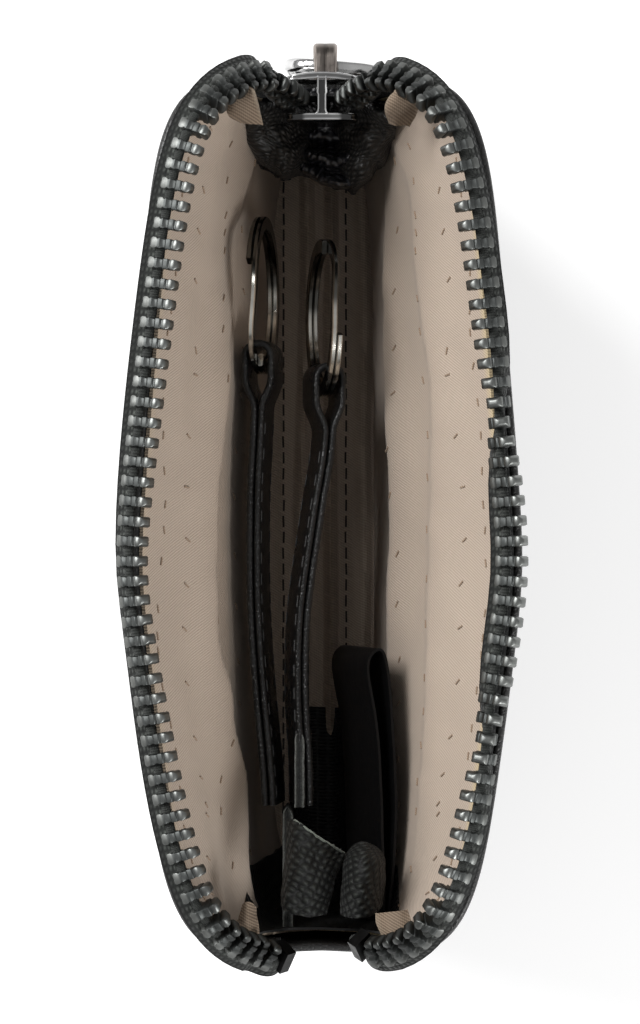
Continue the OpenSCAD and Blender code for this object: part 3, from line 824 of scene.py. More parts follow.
@dataclass(frozen=True)
class LeatherFinish:
    """Fine-grained dyed leather with a light sheen."""

    name: str
    colour: Triple
    worn: Triple
    grain: float = 0.0007
    roughness: float = 0.42
    depth: float = 0.00009
    coat: float = 0.15
    specular: float = 0.35
    edge: Triple | None = None

    def build(self) -> Material:
        """Makes the material."""
        paint = Paint(self.name)
        place = paint.place()
        cells = paint.node("ShaderNodeTexVoronoi", {"Vector": place, "Scale": 1 / self.grain, "Randomness": 1.0},
                           feature="DISTANCE_TO_EDGE").outputs["Distance"]
        creases = paint.level(cells, 0.0, 1.0, 0.0, 0.18)
        clouds = paint.noise(place, 90, 5)
        fine = paint.noise(place, 5200, 3)
        tone = paint.blend(paint.level(clouds, 0.0, 1.0, 0.35, 0.75), self.colour, self.worn)
        tone = paint.blend(paint.level(creases, 0.55, 0.0), tone, shaded(self.colour, 0.35))
        if self.edge:
            frayed = paint.math("MULTIPLY", paint.attribute("hem"), paint.level(fine, 0.5, 1.0, 0.35, 0.65))
            tone = paint.blend(frayed, tone, self.edge)
        paint.set(Base_Color=tone, Coat_Weight=self.coat, Coat_Roughness=0.22, Specular_IOR_Level=self.specular,
                  Roughness=paint.level(clouds, self.roughness - 0.08, self.roughness + 0.14, 0.3, 0.7))
        paint.relief((creases, 0.55, self.depth), (fine, 0.25, self.depth * 0.5),
                     (paint.noise(place, 260, 3), 0.3, self.depth * 4))
        return paint.material


@dataclass(frozen=True)
class ClothFinish:
    """Woven cloth whose threads follow the piece's own flat layout."""

    name: str
    weave: Weave
    colour: Triple
    thread: Triple
    period: float
    degrees: float
    sheen: float = 0.3
    roughness: float = 0.7
    depth: float = 0.00008
    specular: float = 0.25
    hem: Triple | None = None

    def build(self) -> Material:
        """Makes the material."""
        paint = Paint(self.name)
        cloth = paint.place("UV")
        wobble = paint.noise(cloth, 900, 2)
        along = paint.turned(cloth, self.degrees)
        ridges = paint.wave(along, self.period, 0.6)
        if self.weave is Weave.TWILL:
            threads = paint.wave(paint.turned(cloth, self.degrees + 62), self.period * 0.8, 0.4)
            height = paint.math("ADD", ridges, paint.math("MULTIPLY", threads, 0.35))
        elif self.weave is Weave.RIB:
            threads = paint.wave(paint.turned(cloth, self.degrees + 90), self.period * 1.3, 1.6)
            height = paint.math("ADD", paint.math("MULTIPLY", ridges, threads), paint.math("MULTIPLY", wobble, 0.5))
        else:
            height = paint.math("ADD", paint.math("MULTIPLY", ridges, 0.3), wobble)
        tone = paint.blend(paint.level(height, 0.0, 1.0, 0.15, 1.25), self.colour, self.thread)
        patches = paint.noise(cloth, 60, 4)
        shade = shaded(self.thread, 0.8)
        tone = paint.blend(paint.level(patches, 0.0, 0.35, 0.45, 0.8), tone, shade)
        if self.hem:
            tone = paint.blend(paint.attribute("hem"), tone, self.hem)
        paint.set(Base_Color=tone, Roughness=paint.level(patches, self.roughness - 0.06, self.roughness + 0.08),
                  Sheen_Weight=self.sheen, Sheen_Roughness=0.5, Specular_IOR_Level=self.specular)
        paint.relief((height, 0.6, self.depth), (wobble, 0.3, self.depth))
        return paint.material


@dataclass(frozen=True)
class MetalFinish:
    """Plated metal, polished or brushed, with fine handling marks, darkened where a piece stores painted shade and
    painted dark reflection on its points.
    """

    name: str
    colour: Triple
    dark: Triple
    roughness: float = 0.2
    brushed: Triple | None = None
    toned: bool = False

    def build(self) -> Material:
        """Makes the material."""
        paint = Paint(self.name)
        place = paint.place()
        marks = paint.noise(place, 900, 5, 0.6)
        clouds = paint.noise(place, 210, 3)
        tone = paint.blend(paint.level(clouds, 0.0, 1.0, 0.35, 0.7), self.colour, self.dark)
        rough = paint.level(marks, self.roughness - 0.07, self.roughness + 0.12, 0.3, 0.7)
        painted_shade_and_reflection = paint.attribute("painted_shade_and_reflection")
        if self.toned:
            place_on = paint.attribute("along")
            dulled = shaded(self.colour, 0.72)
            pads = paint.blend(paint.level(place_on, 0.0, 1.0, 0.3, 0.36), dulled, self.dark)
            tone = paint.blend(paint.level(place_on, 0.0, 0.65, 0.74, 0.8), pads, self.colour)
            tone = paint.blend(paint.level(clouds, 0.0, 0.3, 0.35, 0.7), tone, self.dark)
            # On the teeth the painted shade falls mostly on the heads and little on the legs.
            painted_shade_and_reflection = paint.math("MULTIPLY", painted_shade_and_reflection, paint.level(place_on, 0.45, 0.95, 0.35, 0.7))
            painted_shade_and_reflection = paint.math("MULTIPLY", painted_shade_and_reflection, paint.level(place_on, 1.0, 0.72, 0.82, 0.9))
            rough = paint.math("SUBTRACT", rough, paint.level(place_on, 0.0, 0.1, 0.72, 0.8))
        if self.brushed:
            lines = paint.node("ShaderNodeTexNoise", {
                "Vector": paint.node("ShaderNodeMapping", {"Vector": place, "Scale": self.brushed}).outputs[0],
                "Scale": 1.0, "Detail": 4.0, "Roughness": 0.65}).outputs["Fac"]
            tone = paint.blend(paint.level(lines, 0.0, 1.0, 0.35, 0.65), tone, self.colour)
            rough = paint.math("ADD", rough, paint.level(lines, -0.05, 0.12, 0.3, 0.7))
            paint.relief((lines, 0.35, 0.00003))
        else:
            paint.relief((marks, 0.12, 0.00003))
        # Painted shade and painted dark reflection: the metal is blended towards a near-black by the number each piece
        # stores on its points.
        tone = paint.blend(painted_shade_and_reflection, tone, shaded(self.dark, 0.15))
        paint.set(Base_Color=tone, Metallic=1.0, Roughness=rough)
        return paint.material


@dataclass(frozen=True)
class ThreadFinish:
    """Twisted sewing thread."""

    name: str
    colour: Triple
    roughness: float = 0.55

    def build(self) -> Material:
        """Makes the material."""
        paint = Paint(self.name)
        place = paint.place()
        twist = paint.wave(paint.turned(place, 35), 0.00022, 0.3)
        fuzz = paint.noise(place, 4000, 2)
        dark = shaded(self.colour, 0.55)
        paint.set(Base_Color=paint.blend(twist, dark, self.colour), Roughness=self.roughness,
                  Sheen_Weight=0.25)
        paint.relief((twist, 0.5, 0.00005), (fuzz, 0.2, 0.00004))
        return paint.material


class Finishes(Enum):
    """Every finish of the case."""

    LEATHER = LeatherFinish("case_leather", (0.012, 0.0118, 0.0115), (0.022, 0.0215, 0.021))
    STRAP = LeatherFinish("strap_leather", (0.007, 0.007, 0.0074), (0.013, 0.0128, 0.0128), grain=0.0006,
                          roughness=0.3, coat=0.1, specular=0.3)
    EDGE = LeatherFinish("edge_paint", (0.007, 0.007, 0.0075), (0.01, 0.01, 0.0105), grain=0.0016,
                         roughness=0.24, depth=0.00003, coat=0.6)
    RAW = LeatherFinish("raw_leather", (0.008, 0.0085, 0.0085), (0.022, 0.0235, 0.0225), grain=0.00045,
                        roughness=0.8, depth=0.00014, coat=0.0, edge=(0.17, 0.18, 0.17))
    LINING = ClothFinish("twill_lining", Weave.TWILL, (0.345, 0.278, 0.222), (0.475, 0.393, 0.322), 0.00033, 28.0,
                         sheen=0.1, hem=(0.5, 0.4, 0.23))
    TAPE = ClothFinish("woven_tape", Weave.RIB, (0.008, 0.009, 0.0085), (0.085, 0.093, 0.084), 0.0007, 90.0,
                       sheen=0.1, roughness=0.8, depth=0.0003, specular=0.2, hem=(0.0065, 0.007, 0.0068))
    # Painted shade: the same twill as the lining, hem included, coloured darker for the turned corners that lie in
    # shade.
    TURNED = ClothFinish("turned_lining_painted_shade", Weave.TWILL, (0.11, 0.08, 0.055), (0.24, 0.18, 0.13), 0.00033, 28.0,
                         sheen=0.05, hem=(0.22, 0.175, 0.13))
    BRAID = ClothFinish("braided_tape", Weave.RIB, (0.0012, 0.0012, 0.0013), (0.026, 0.028, 0.025), 0.0009, 70.0,
                        sheen=0.02, roughness=0.6, depth=0.0006, specular=0.2)
    RIBBED = ClothFinish("ribbed_tape", Weave.RIB, (0.0025, 0.0025, 0.003), (0.045, 0.046, 0.054), 0.0013, 0.0,
                         sheen=0.0, roughness=0.28, depth=0.0008, specular=0.7)
    TAIL = ClothFinish("folded_tape", Weave.RIB, (0.0012, 0.0012, 0.0013), (0.0085, 0.0088, 0.0085), 0.0007, 90.0,
                       sheen=0.02, roughness=0.42, depth=0.0004, specular=0.3)
    PLEATED = ClothFinish("pleated_tape", Weave.RIB, (0.003, 0.0029, 0.0027), (0.03, 0.029, 0.027), 0.0007, 90.0,
                          sheen=0.02, roughness=0.45, depth=0.0004, specular=0.35)
    CUT_EDGE = ThreadFinish("cut_edge_thread", (0.16, 0.18, 0.15), 0.8)
    SATIN = ClothFinish("black_satin", Weave.SATIN, (0.0015, 0.0015, 0.0017), (0.0045, 0.0045, 0.005), 0.0003,
                        0.0, sheen=0.0, roughness=0.4, depth=0.00003, specular=0.2)
    TEETH = MetalFinish("tooth_metal", (0.235, 0.242, 0.232), (0.085, 0.09, 0.088), 0.5, toned=True)
    SLIDER = MetalFinish("slider_metal", (0.9, 0.9, 0.89), (0.6, 0.6, 0.6), 0.16)
    CROWN = MetalFinish("brushed_crown", (0.3, 0.265, 0.24), (0.12, 0.105, 0.095), 0.3,
                        brushed=(300.0, 9000.0, 300.0))
    PULL = MetalFinish("pull_metal", (0.85, 0.85, 0.84), (0.5, 0.5, 0.5), 0.13)
    RING = MetalFinish("ring_steel", (0.85, 0.82, 0.75), (0.4, 0.385, 0.35), 0.15)
    BLACK_THREAD = ThreadFinish("black_thread", (0.02, 0.02, 0.021))
    BROWN_THREAD = ThreadFinish("brown_thread", (0.33, 0.235, 0.16), 0.8)
    SEAM_THREAD = ThreadFinish("seam_thread", (0.03, 0.02, 0.013), 0.8)
    STOP = MetalFinish("stop_metal", (0.016, 0.016, 0.016), (0.008, 0.008, 0.008), 0.45)
    BOARD = ClothFinish("base_board", Weave.SATIN, (0.2, 0.16, 0.11), (0.3, 0.25, 0.18), 0.0008, 0.0)

    def material(self) -> Material:
        """The finish's material, made once."""
        return bpy.data.materials.get(f"{self.value.name}_paint") or self.value.build()

    def give(self, obj: Obj) -> None:
        """Makes this the object's only finish."""
        obj.data.materials.clear()
        obj.data.materials.append(self.material())


@dataclass
class Piece:
    """Dresses one object and hands it to the frame."""

    obj: Obj
    finish: Finishes
    slot: str
    body: str = "root"
    nodes: tuple[str, ...] = ()
    angle: float | None = None

    def settle(self) -> Obj:
        """Shades the object smooth where an angle is given, gives it its finish and body, and hides the nodes that it
        stands for.
        """
        if self.angle is not None:
            Bench.smooth(self.obj, self.angle)
        self.finish.give(self.obj)
        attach(self.obj, self.body)
        if self.nodes:
            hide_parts(*self.nodes)
        LOG.info("%s: %s faces, rides on %s", self.obj.name, len(self.obj.data.polygons), self.body)
        return self.obj


# Sub-assemblies


@dataclass
class LeatherShell:
    """The two leather walls, the base between them and the seams that hold them."""

    form: CaseForm = CaseForm()
    columns: int = 150
    rows: int = 34
    hem: float = 7.0
    stitch: float = 2.1
    stitch_pitch: float = 2.9
    stitched: Pair = (7.0, 173.0)

    def section(self, a: float) -> Section:
        """Closed outline of a wall at a direction: up the outside, over the rim and down the inside."""
        form = self.form
        t = form.leather
        top = form.rim(a)
        foot = [0.0, 0.08, 0.35, 0.9, 1.7]
        outer = [form.wall(a, z, self.relief(a, z, 1.0)) for z in foot]
        outer += [form.wall(a, z, self.relief(a, z, 1.0))
                  for z in (mix(2.6, top - t / 2, i / self.rows) for i in range(self.rows))]
        centre = form.wall(a, top - t / 2, t / 2)
        out = form.outward(a, top)
        roll = [centre + t / 2 * (cos(r) * out + Vector((0, 0, sin(r))))
                for r in (pi * k / 6 for k in range(7))]
        inner = [form.wall(a, z, t) for z in (mix(top - t / 2, 1.7, i / 12) for i in range(1, 13))]
        inner += [form.wall(a, z, t) for z in (0.9, 0.35, 0.0)]
        return outer + roll + inner

    def relief(self, a: float, z: float, side: float) -> float:
        """Depth of the soft dents and of the sewn channel below the rim."""
        form = self.form
        below = form.rim(a) - z
        channel = 0.22 * bump(below, self.stitch, 0.75) - 0.12 * bump(below, self.stitch + 1.6, 1.0)
        near = min(1.0, form.from_end(a) / 12)
        dent = 0.35 * ripple(a * 0.035 * side, z * 0.05, 3.0) * min(1.0, z / 10) * near
        ridge = -0.25 * exp(-((form.from_end(a) / 2.2) ** 2))
        return max(-0.5, channel + dent * ease(below / 6) + ridge * ease(z / 6))

    def wall(self, side: Side) -> Obj:
        """One wall with its turned rim."""
        rows = [self.section(a) for a in spread(self.columns, CROWDING)]
        obj = Bench.loft(f"leather_{side}", rows, closed=True, caps=True)
        Bench.set_side(obj, side)
        return Piece(obj, Finishes.LEATHER, "leather", nodes=(f"panel_{side}",), angle=55).settle()

    def stitches(self, side: Side) -> Obj:
        """The row of thread below the rim of one wall."""
        model = Bench.stitch("stitch", 1.9, 0.21, 0.9, 0.07, 0.2)
        Bench.smooth(model, 70)
        form = self.form
        places, last, a = [], None, self.stitched[0]
        while a < self.stitched[1]:
            z = form.rim(a) - self.stitch
            at = form.wall(a, z, 0.02)
            if last is None or (at - last).length >= self.stitch_pitch:
                ahead = form.wall(a + 0.5, form.rim(a + 0.5) - self.stitch, 0.02)
                along = (ahead - at).normalized()
                out = form.outward(a, z)
                out = (out - out.dot(along) * along).normalized()
                places.append(placed(along, out.cross(along), out, at + 0.1 * out))
                last = at
            a += 0.1
        obj = Bench.scatter(f"rim_stitches_{side}", model, places)
        Bench.set_side(obj, side)
        return Piece(obj, Finishes.BLACK_THREAD, "leather").settle()

    def base(self) -> Obj:
        """The leather under the floor, with its softly rounded border."""
        form = self.form
        lanes = [0.0, 0.25, 0.5, 0.75, 0.9, 0.97, 1.0]
        angles = [360 * i / 120 for i in range(120)]
        rows = []
        for z, shrink in ((1.2, 0.0), (0.35, 0.0), (0.05, 0.25), (0.0, 0.9)):
            ring = []
            for a in angles:
                p = form.wall(a if a <= 180 else 360 - a, 0.0, form.leather + form.seam_gap + shrink)
                ring.append(Vector((p.x, p.y if a <= 180 else -p.y, z)))
            rows.append(ring)
        rows += [[Vector((p.x * lane, p.y * lane, 0.0)) for p in rows[-1]] for lane in reversed(lanes[1:-1])]
        obj = Bench.loft("base_leather", rows, closed=True, caps=True)
        return Piece(obj, Finishes.LEATHER, "leather", nodes=("base_gusset",), angle=50).settle()

    def build(self) -> None:
        """Makes the walls, their stitching and the base."""
        for side in Side:
            self.wall(side)
            self.stitches(side)
        self.base()


@dataclass(frozen=True)
class Crease:
    """A long fold of the lining, bulging in over a steeper stretch, in millimetres."""

    line: tuple[Triple, ...]
    above: float
    below: float

    def depth(self, x: float, z: float) -> float:
        """Bulge at a place along the case and a height."""
        line = self.line
        x = min(line[-1][0], max(line[0][0], x))
        k = next(i for i in range(len(line) - 1) if x <= line[i + 1][0])
        t = ease((x - line[k][0]) / (line[k + 1][0] - line[k][0]))
        height, bulge = mix(line[k][1], line[k + 1][1], t), mix(line[k][2], line[k + 1][2], t)
        return bulge * bump(z, height, self.above if z > height else self.below)


@dataclass
class Lining:
    """Twill lining of both walls and of the floor, with its slack, its seams and its short brown dashes."""

    form: CaseForm = CaseForm()
    columns: int = 210
    rows: int = 84
    crowding: float = 1.4
    cloth_height: float = 62.0
    below_rim: float = 0.6
    end_drop: float = 5.0
    end_deg: float = 14.0
    slack: float = 0.6
    dash_rows: tuple[Triple, ...] = (
        (3.0, 4.1, 6), (8.5, 6.4, 60), (17.0, 5.2, -20), (26.0, 7.2, 40))
    seams: Pair = (5.4, -3.4)
    seam_stitches: int = 42
    floor_rows: int = 120
    floor_columns: int = 48
    folds: tuple[Triple, ...] = ((2.6, 1.5, 0.6), (-1.2, 1.9, 0.5), (-5.6, 1.2, 0.7))
    creases: dict[Side, tuple[Crease, ...]] = field(default_factory=lambda: {
        Side.BACK: (
            Crease(((-52, 37, 0.6), (-38, 38, 1.7), (-26, 43, 1.9), (-15, 46.5, 2.1), (2, 46, 2.1), (14, 44, 1.8),
                    (25, 42, 1.2), (36, 38, 0.4), (50, 33, 1.0)), 5.5, 1.0),
            Crease(((-52, 50, 0.2), (-20, 56, 0.35), (0, 53, 0.15), (20, 55, 0.4), (50, 46, 0.3)), 3.5, 3.0)),
        Side.FRONT: (
            Crease(((-52, 44, 0.3), (-20, 46, 1.0), (-8, 45, 1.2), (16, 47, 1.1), (40, 42, 0.8), (52, 36, 0.4)),
                   6.5, 2.2),
            Crease(((-40, 28, 0.2), (-26, 30, 1.2), (-10, 33, 2.4), (6, 34, 2.6), (25, 31, 2.0), (42, 27, 0.6)),
                   5.0, 1.4))})

    def top(self, a: float) -> float:
        """Height of the lining's upper edge at a direction."""
        near = (self.form.from_end(a) / self.end_deg) ** 4
        return self.form.rim(a) - self.below_rim - self.end_drop / (1 + near)

    def depth(self, side: Side, a: float, z: float) -> float:
        """Distance of the lining inside the outer face of the leather."""
        form = self.form
        up = (z - form.floor) / max(1.0, self.top(a) - form.floor)
        middle = sin(radians(a)) ** 2
        waves = self.slack * sin(pi * min(1.0, max(0.0, up))) * middle
        waves *= 0.7 + 0.3 * sin(radians(7 * a))
        x = form.half_length(z) * cos(radians(a))
        fold = sum(crease.depth(x, z) for crease in self.creases[side])
        small = 0.3 * ripple(x * 0.085 * side.sign, z * 0.1, 1.3) + 0.2 * ripple(x * 0.2, z * 0.16 * side.sign, 7.0)
        small += 0.08 * ripple(x * 0.55, z * 0.3, 12.0 * side.sign)
        held = ease((self.top(a) - z) / 7) * ease((z - form.floor) / 6)
        return form.lining_in + form.lining + 0.06 + (waves + fold * ease(middle * 4) + small) * held

    def at(self, side: Side, a: float, z: float, proud: float = 0.0) -> Point:
        """Point of the inner face of the lining, as a point of the back wall."""
        return self.form.wall(a, z, self.depth(side, a, z) + proud)

    def wall(self, side: Side, pieces: Sequence[Obj]) -> Obj:
        """The sheet on one wall."""
        angles = spread(self.columns, self.crowding)
        lengths = running([self.form.wall(a, 45, 2) for a in angles])
        rows, heights = [], []
        for i in range(self.rows + 1):
            up = i / self.rows
            rows.append([self.at(side, a, mix(self.form.floor, self.top(a), up)) for a in angles])
            heights.append(up * self.cloth_height)
        pale = 0.75 if side is Side.FRONT else 0.2
        obj = Bench.loft(f"lining_cloth_{side}", rows, uv=lambda i, j: (lengths[j] * MM, heights[i] * MM),
                         marks={"hem": lambda i, j: pale * ease(1 - (self.top(angles[j]) - rows[i][j].z) / 1.4)})
        Bench.cloth(obj, self.form.lining, side, 1.0)
        Piece(obj, Finishes.LINING, "lining", nodes=(f"lining_{side}",)).settle()
        return obj

    def dash(self, name: str, length: float, radius: float) -> Obj:
        """One short stitch of thread, lying along X."""
        model = Bench.stitch(name, length, radius, 0.45 * length, 0.35 * radius, 0.5 * radius)
        Bench.smooth(model, 70)
        return model

    def frame(self, side: Side, a: float, z: float, turn: float) -> Matrix:
        """Frame that lies on the lining: X along the case turned by some degrees, Z out of the cloth."""
        here = self.at(side, a, z, 0.08)
        along = (self.at(side, a - 0.6, z) - self.at(side, a + 0.6, z)).normalized()
        rise = (self.at(side, a, z + 0.6) - self.at(side, a, z - 0.6)).normalized()
        out = along.cross(rise).normalized()
        out = out if out.y < 0 else -out
        c, s = cos(radians(turn)), sin(radians(turn))
        x_axis = (c * along + s * rise).normalized()
        return placed(x_axis, out.cross(x_axis), out, here)

    def dashes(self, side: Side) -> Obj:
        """Short brown stitches in staggered rows on one wall."""
        places = []
        for row, (low, pitch, turn) in enumerate(self.dash_rows):
            a, last = 16.0 + 3 * row, None
            while a < 166:
                z = self.top(a) - low + 3.2 * ripple(a * 0.05, row * 3.1, 3.0 * side.sign)
                here = self.at(side, a, z)
                if last is None or (here - last).length >= pitch * (1 + 0.9 * ripple(a * 0.2, row * 7.3, 1.0)):
                    last = here
                    places.append(self.frame(side, a, z, turn + 60 * ripple(a * 0.4, row, 5.0)))
                a += 0.25
        obj = Bench.scatter(f"lining_dashes_{side}", self.dash("dash", 1.0, 0.13), places)
        Bench.set_side(obj, side)
        return Piece(obj, Finishes.BROWN_THREAD, "lining").settle()

    def flap(self, name: str, grid: Sequence[Sequence[Triple]],
             hem: Callable[[float, float], float]) -> Obj:
        """A corner of the lining, turned over, through points of the picture and their heights, coloured darker than
        the lining as painted shade.
        """
        obj = Bench.quilt(name, [[seen(*p) for p in row] for row in grid], 8, 0.4, 0.3, 3.0, hem)
        for loop in obj.data.loops:
            obj.data.uv_layers[0].data[loop.index].uv = obj.data.vertices[loop.vertex_index].co.xy
        return Piece(obj, Finishes.TURNED, "lining").settle()

    def floor(self) -> Obj:
        """The sheet on the floor, with the two seams that run along it."""
        form = self.form
        base = form.floor - 0.25
        angles = [180 * i / self.floor_rows for i in range(self.floor_rows + 1)]
        rows = []
        for a in angles:
            edge = form.wall(a, base, form.lining_in + 0.35)
            row = []
            for k in range(self.floor_columns + 1):
                y = edge.y * (1 - k / (self.floor_columns / 2))
                z = base + 0.3 * bump(y, self.seams[0], 0.5) + 0.3 * bump(y, self.seams[1], 0.5)
                z += 0.15 * ripple(edge.x * 0.12, y * 0.4, 2.0)
                fade = ease(min(52 - edge.x, edge.x + 34) / 6)
                z += sum(high * bump(y, at + 0.8 * ripple(edge.x * 0.04, at, 1.0), wide) * fade
                         for at, high, wide in self.folds)
                row.append(Vector((edge.x, y, z)))
            rows.append(row)
        obj = Bench.loft("lining_cloth_floor", rows, uv=lambda i, j: (rows[i][j].x * MM, rows[i][j].y * MM))
        Bench.cloth(obj, form.lining)
        Piece(obj, Finishes.LINING, "lining", nodes=("lining_base",)).settle()
        seams = []
        for y in self.seams:
            for i in range(self.seam_stitches):
                m = Matrix.Rotation(radians(3 * ripple(i, y, 0.0)), 4, "Z")
                m.translation = (mix(-46, 46, i / (self.seam_stitches - 1)), y + 0.1 * ripple(i, y, 4.0), base + 0.6)
                seams.append(m)
        stitches = Bench.scatter("floor_stitches", self.dash("seam_stitch", 1.6, 0.14), seams)
        Piece(stitches, Finishes.SEAM_THREAD, "lining").settle()
        return obj

    def build(self) -> None:
        """Makes the lining of both walls with its turned corners, and that of the floor."""
        back = [self.dashes(Side.BACK), self.flap("lining_corner_slider_back", (
            ((228, 92, 57.5), (237, 84, 58), (246, 86, 58.5), (253, 92, 59)),
            ((226, 103, 57), (236, 100, 58), (248, 98, 58.5), (257, 102, 58.5)),
            ((229, 113, 56), (240, 112, 57), (251, 111, 57), (260, 112, 56.5)),
            ((240, 121, 54), (249, 122, 55), (257, 123, 55), (263, 124, 54))), lambda v, u: ease(7 * u - 6)),
            self.flap("lining_corner_stop_back", (
                ((243, 905, 54), (247, 903, 55), (252, 904, 54.5), (256, 907, 53)),
                ((240, 918, 55), (246, 920, 55.5), (252, 921, 55), (257, 922, 54)),
                ((242, 932, 55), (248, 935, 55.5), (253, 937, 55), (257, 938, 54))), lambda v, u: 0.0)]
        front = [self.dashes(Side.FRONT), self.flap("lining_corner_slider_front", (
            ((396, 92, 59), (403, 86, 59), (411, 90, 58.5), (418, 98, 58)),
            ((387, 101, 58.5), (396, 100, 59), (407, 102, 58.5), (418, 108, 57.5)),
            ((385, 111, 57), (394, 112, 57.5), (404, 114, 57), (414, 118, 56)),
            ((389, 122, 54), (396, 124, 54.5), (403, 125, 54), (409, 127, 53))), lambda v, u: ease(1 - 7 * u)),
            self.flap("lining_corner_stop_front", (
                ((376, 913, 53), (387, 912, 54.5), (398, 911, 55), (407, 909, 54.5)),
                ((377, 925, 54), (388, 926, 55.5), (400, 925, 56), (411, 921, 55.5)),
                ((383, 937, 54), (392, 941, 55.5), (402, 942, 56), (411, 938, 55.5)),
                ((392, 945, 53), (398, 947, 54), (404, 948, 54.5), (411, 946, 54))),
                lambda v, u: 0.6 * ease(1 - 5 * u))]
        self.wall(Side.BACK, back)
        self.wall(Side.FRONT, front)
        self.floor()


@dataclass
class EndFacing:
    """Black cloth inside both ends, between the two walls' linings, which runs on over the floor; at the stop end its
    long run over the floor is partly real black cloth and partly painted shadow.
    """

    form: CaseForm = CaseForm()
    nearest_x: float = 47.0
    cloth: float = 0.3
    steps: int = 16
    # The stop end's facing runs 25 mm on over the floor: a black sheet laid where the floor lies in shadow, partly real
    # cloth and partly painted shadow.
    ends: tuple[tuple[str, int, float, float], ...] = (
        ("end_facing_slider", 1, 2.5, 8.6), ("end_facing_stop", -1, 25.0, 10.0))

    def across(self, up: float, end: int, half_width: float) -> Section:
        """Points from the back to the front just inside an end, at a share of its height there."""
        form = self.form
        depth = form.lining_in + form.lining + 0.35

        def at(a: float) -> Point:
            """Point inside the end at a direction."""
            return form.wall(turned := a if end > 0 else 180 - a,
                             mix(form.floor + 1.5, form.rim(turned) - 0.7, up), depth)

        reach = next(a / 2 for a in range(1, 180) if at(a / 2).y > half_width or abs(at(a / 2).x) < self.nearest_x)
        points = [at(reach * k / 9) for k in range(9, -1, -1)]
        return points + [Vector((p.x, -p.y, p.z)) for p in reversed(points[:-1])]

    def build(self) -> None:
        """Makes the facing of each end."""
        form = self.form
        for name, end, run, half in self.ends:
            rows = [self.across(1 - i / self.steps, end, half) for i in range(self.steps + 1)]
            foot = rows[-1]
            middle = foot[len(foot) // 2].x
            for k in range(1, self.steps + 1):
                low = form.floor + 0.55 + 0.95 * (1 - k / self.steps) ** 3
                rows.append([Vector((mix(p.x, middle, k / self.steps) - end * run * k / self.steps, p.y * 0.8, low))
                             for p in foot])
            rows = [[p + Vector((0.25 * ripple(p.y * 0.3, p.z * 0.2, end), 0, 0.12 * ripple(p.x * 0.3, p.y * 0.4, end)))
                     for p in row] for row in rows]
            obj = Bench.loft(name, rows, uv=lambda i, j: (j * 0.00095, i * 0.0022))
            Bench.cloth(obj, self.cloth)
            Piece(obj, Finishes.TAIL, "zip_tape").settle()


@dataclass
class ZipTeeth:
    """The two rows of metal teeth."""

    chain: ChainForm = ChainForm()
    profile: tuple[Triple, ...] = (
        (-0.1, 1.06, 1.0), (-0.04, 0.86, 0.84), (0.05, 0.82, 0.8), (0.09, 1.0, 0.9), (0.22, 1.0, 0.9),
        (0.245, 0.7, 0.7), (0.28, 0.92, 0.74), (0.36, 1.04, 0.78), (0.44, 0.88, 0.66), (0.5, 0.42, 0.36))

    legs: tuple[Triple, ...] = ((0.07, 0.78, 0.17), (0.05, 1.36, 0.22), (0.1, 1.0, 0.32), (0.04, 0.66, 0.36))
    bevel: float = 0.16
    # Where the painted shade on the teeth begins and how far it fades in, along the case and across it
    gloom_from: Pair = (44, 4)
    gloom_within: Pair = (17, 8)

    def tooth(self) -> Obj:
        """One tooth: a head with its nib, a waist and two crimped legs."""
        chain = self.chain
        length, width, depth = chain.tooth_length * MM, chain.tooth_width * MM, chain.tooth_depth * MM
        Bench.clear()
        bpy.ops.mesh.primitive_cube_add(size=1.0, location=(0, 0.2 * length, 0), scale=(width, 0.6 * length, depth))
        tooth = Bench.take("tooth")
        bpy.ops.object.transform_apply(location=True, scale=True)
        Bench.edit(tooth)
        for z in (-0.22, 0.22):
            Bench.everything()
            bpy.ops.mesh.bisect(plane_co=(0, 0, z * depth), plane_no=(0, 0, 1))
        for y, _, _ in self.profile[1:-1]:
            Bench.everything()
            bpy.ops.mesh.bisect(plane_co=(0, y * length, 0), plane_no=(0, 1, 0))
        for y, wide, deep in self.profile:
            Bench.pick(tooth, lambda c, y=y: abs(c.y - y * length) < 0.01 * length)
            bpy.ops.transform.resize(value=(wide, 1.0, deep), center_override=(0, y * length, 0))
        Bench.pick(tooth, lambda c: c.y < -0.09 * length and abs(c.z) > 0.25 * depth, "FACE")
        for step, wide, reach in self.legs:
            bpy.ops.mesh.extrude_region_move(TRANSFORM_OT_translate={"value": (0, -step * length, 0)})
            bpy.ops.transform.resize(value=(wide, 1.0, 1.0), center_override=(0, -reach * length, 0))
        Bench.close()
        Bench.apply(tooth, "BEVEL", width=self.bevel * MM, segments=2, limit_method="ANGLE", angle_limit=radians(40))
        Bench.mark(tooth, "along", lambda co: min(1.0, max(0.0, co.y / length + 0.5)))
        Bench.smooth(tooth, 35)
        return tooth

    def row(self, side: Side) -> Obj:
        """One row of teeth."""
        places = [self.chain.stand(side, s) for s in self.chain.places(side)]
        obj = Bench.scatter(f"zip_teeth_{side}", self.tooth(), places)
        # Painted shade: teeth near both ends, where the chain dips into the shadow of the ends, are darkened.
        (near, fade), (side_end, side_fade) = self.gloom_from, self.gloom_within
        Bench.mark(obj, "painted_shade_and_reflection", lambda co: ease((abs(co.x) / MM - near) / fade)
                   * ease((side_end - abs(co.y) / MM) / side_fade))
        Bench.set_side(obj, side)
        return Piece(obj, Finishes.TEETH, "zip_metal", nodes=(f"teeth_{side}",)).settle()

    def build(self) -> None:
        """Makes both rows."""
        for side in Side:
            self.row(side)


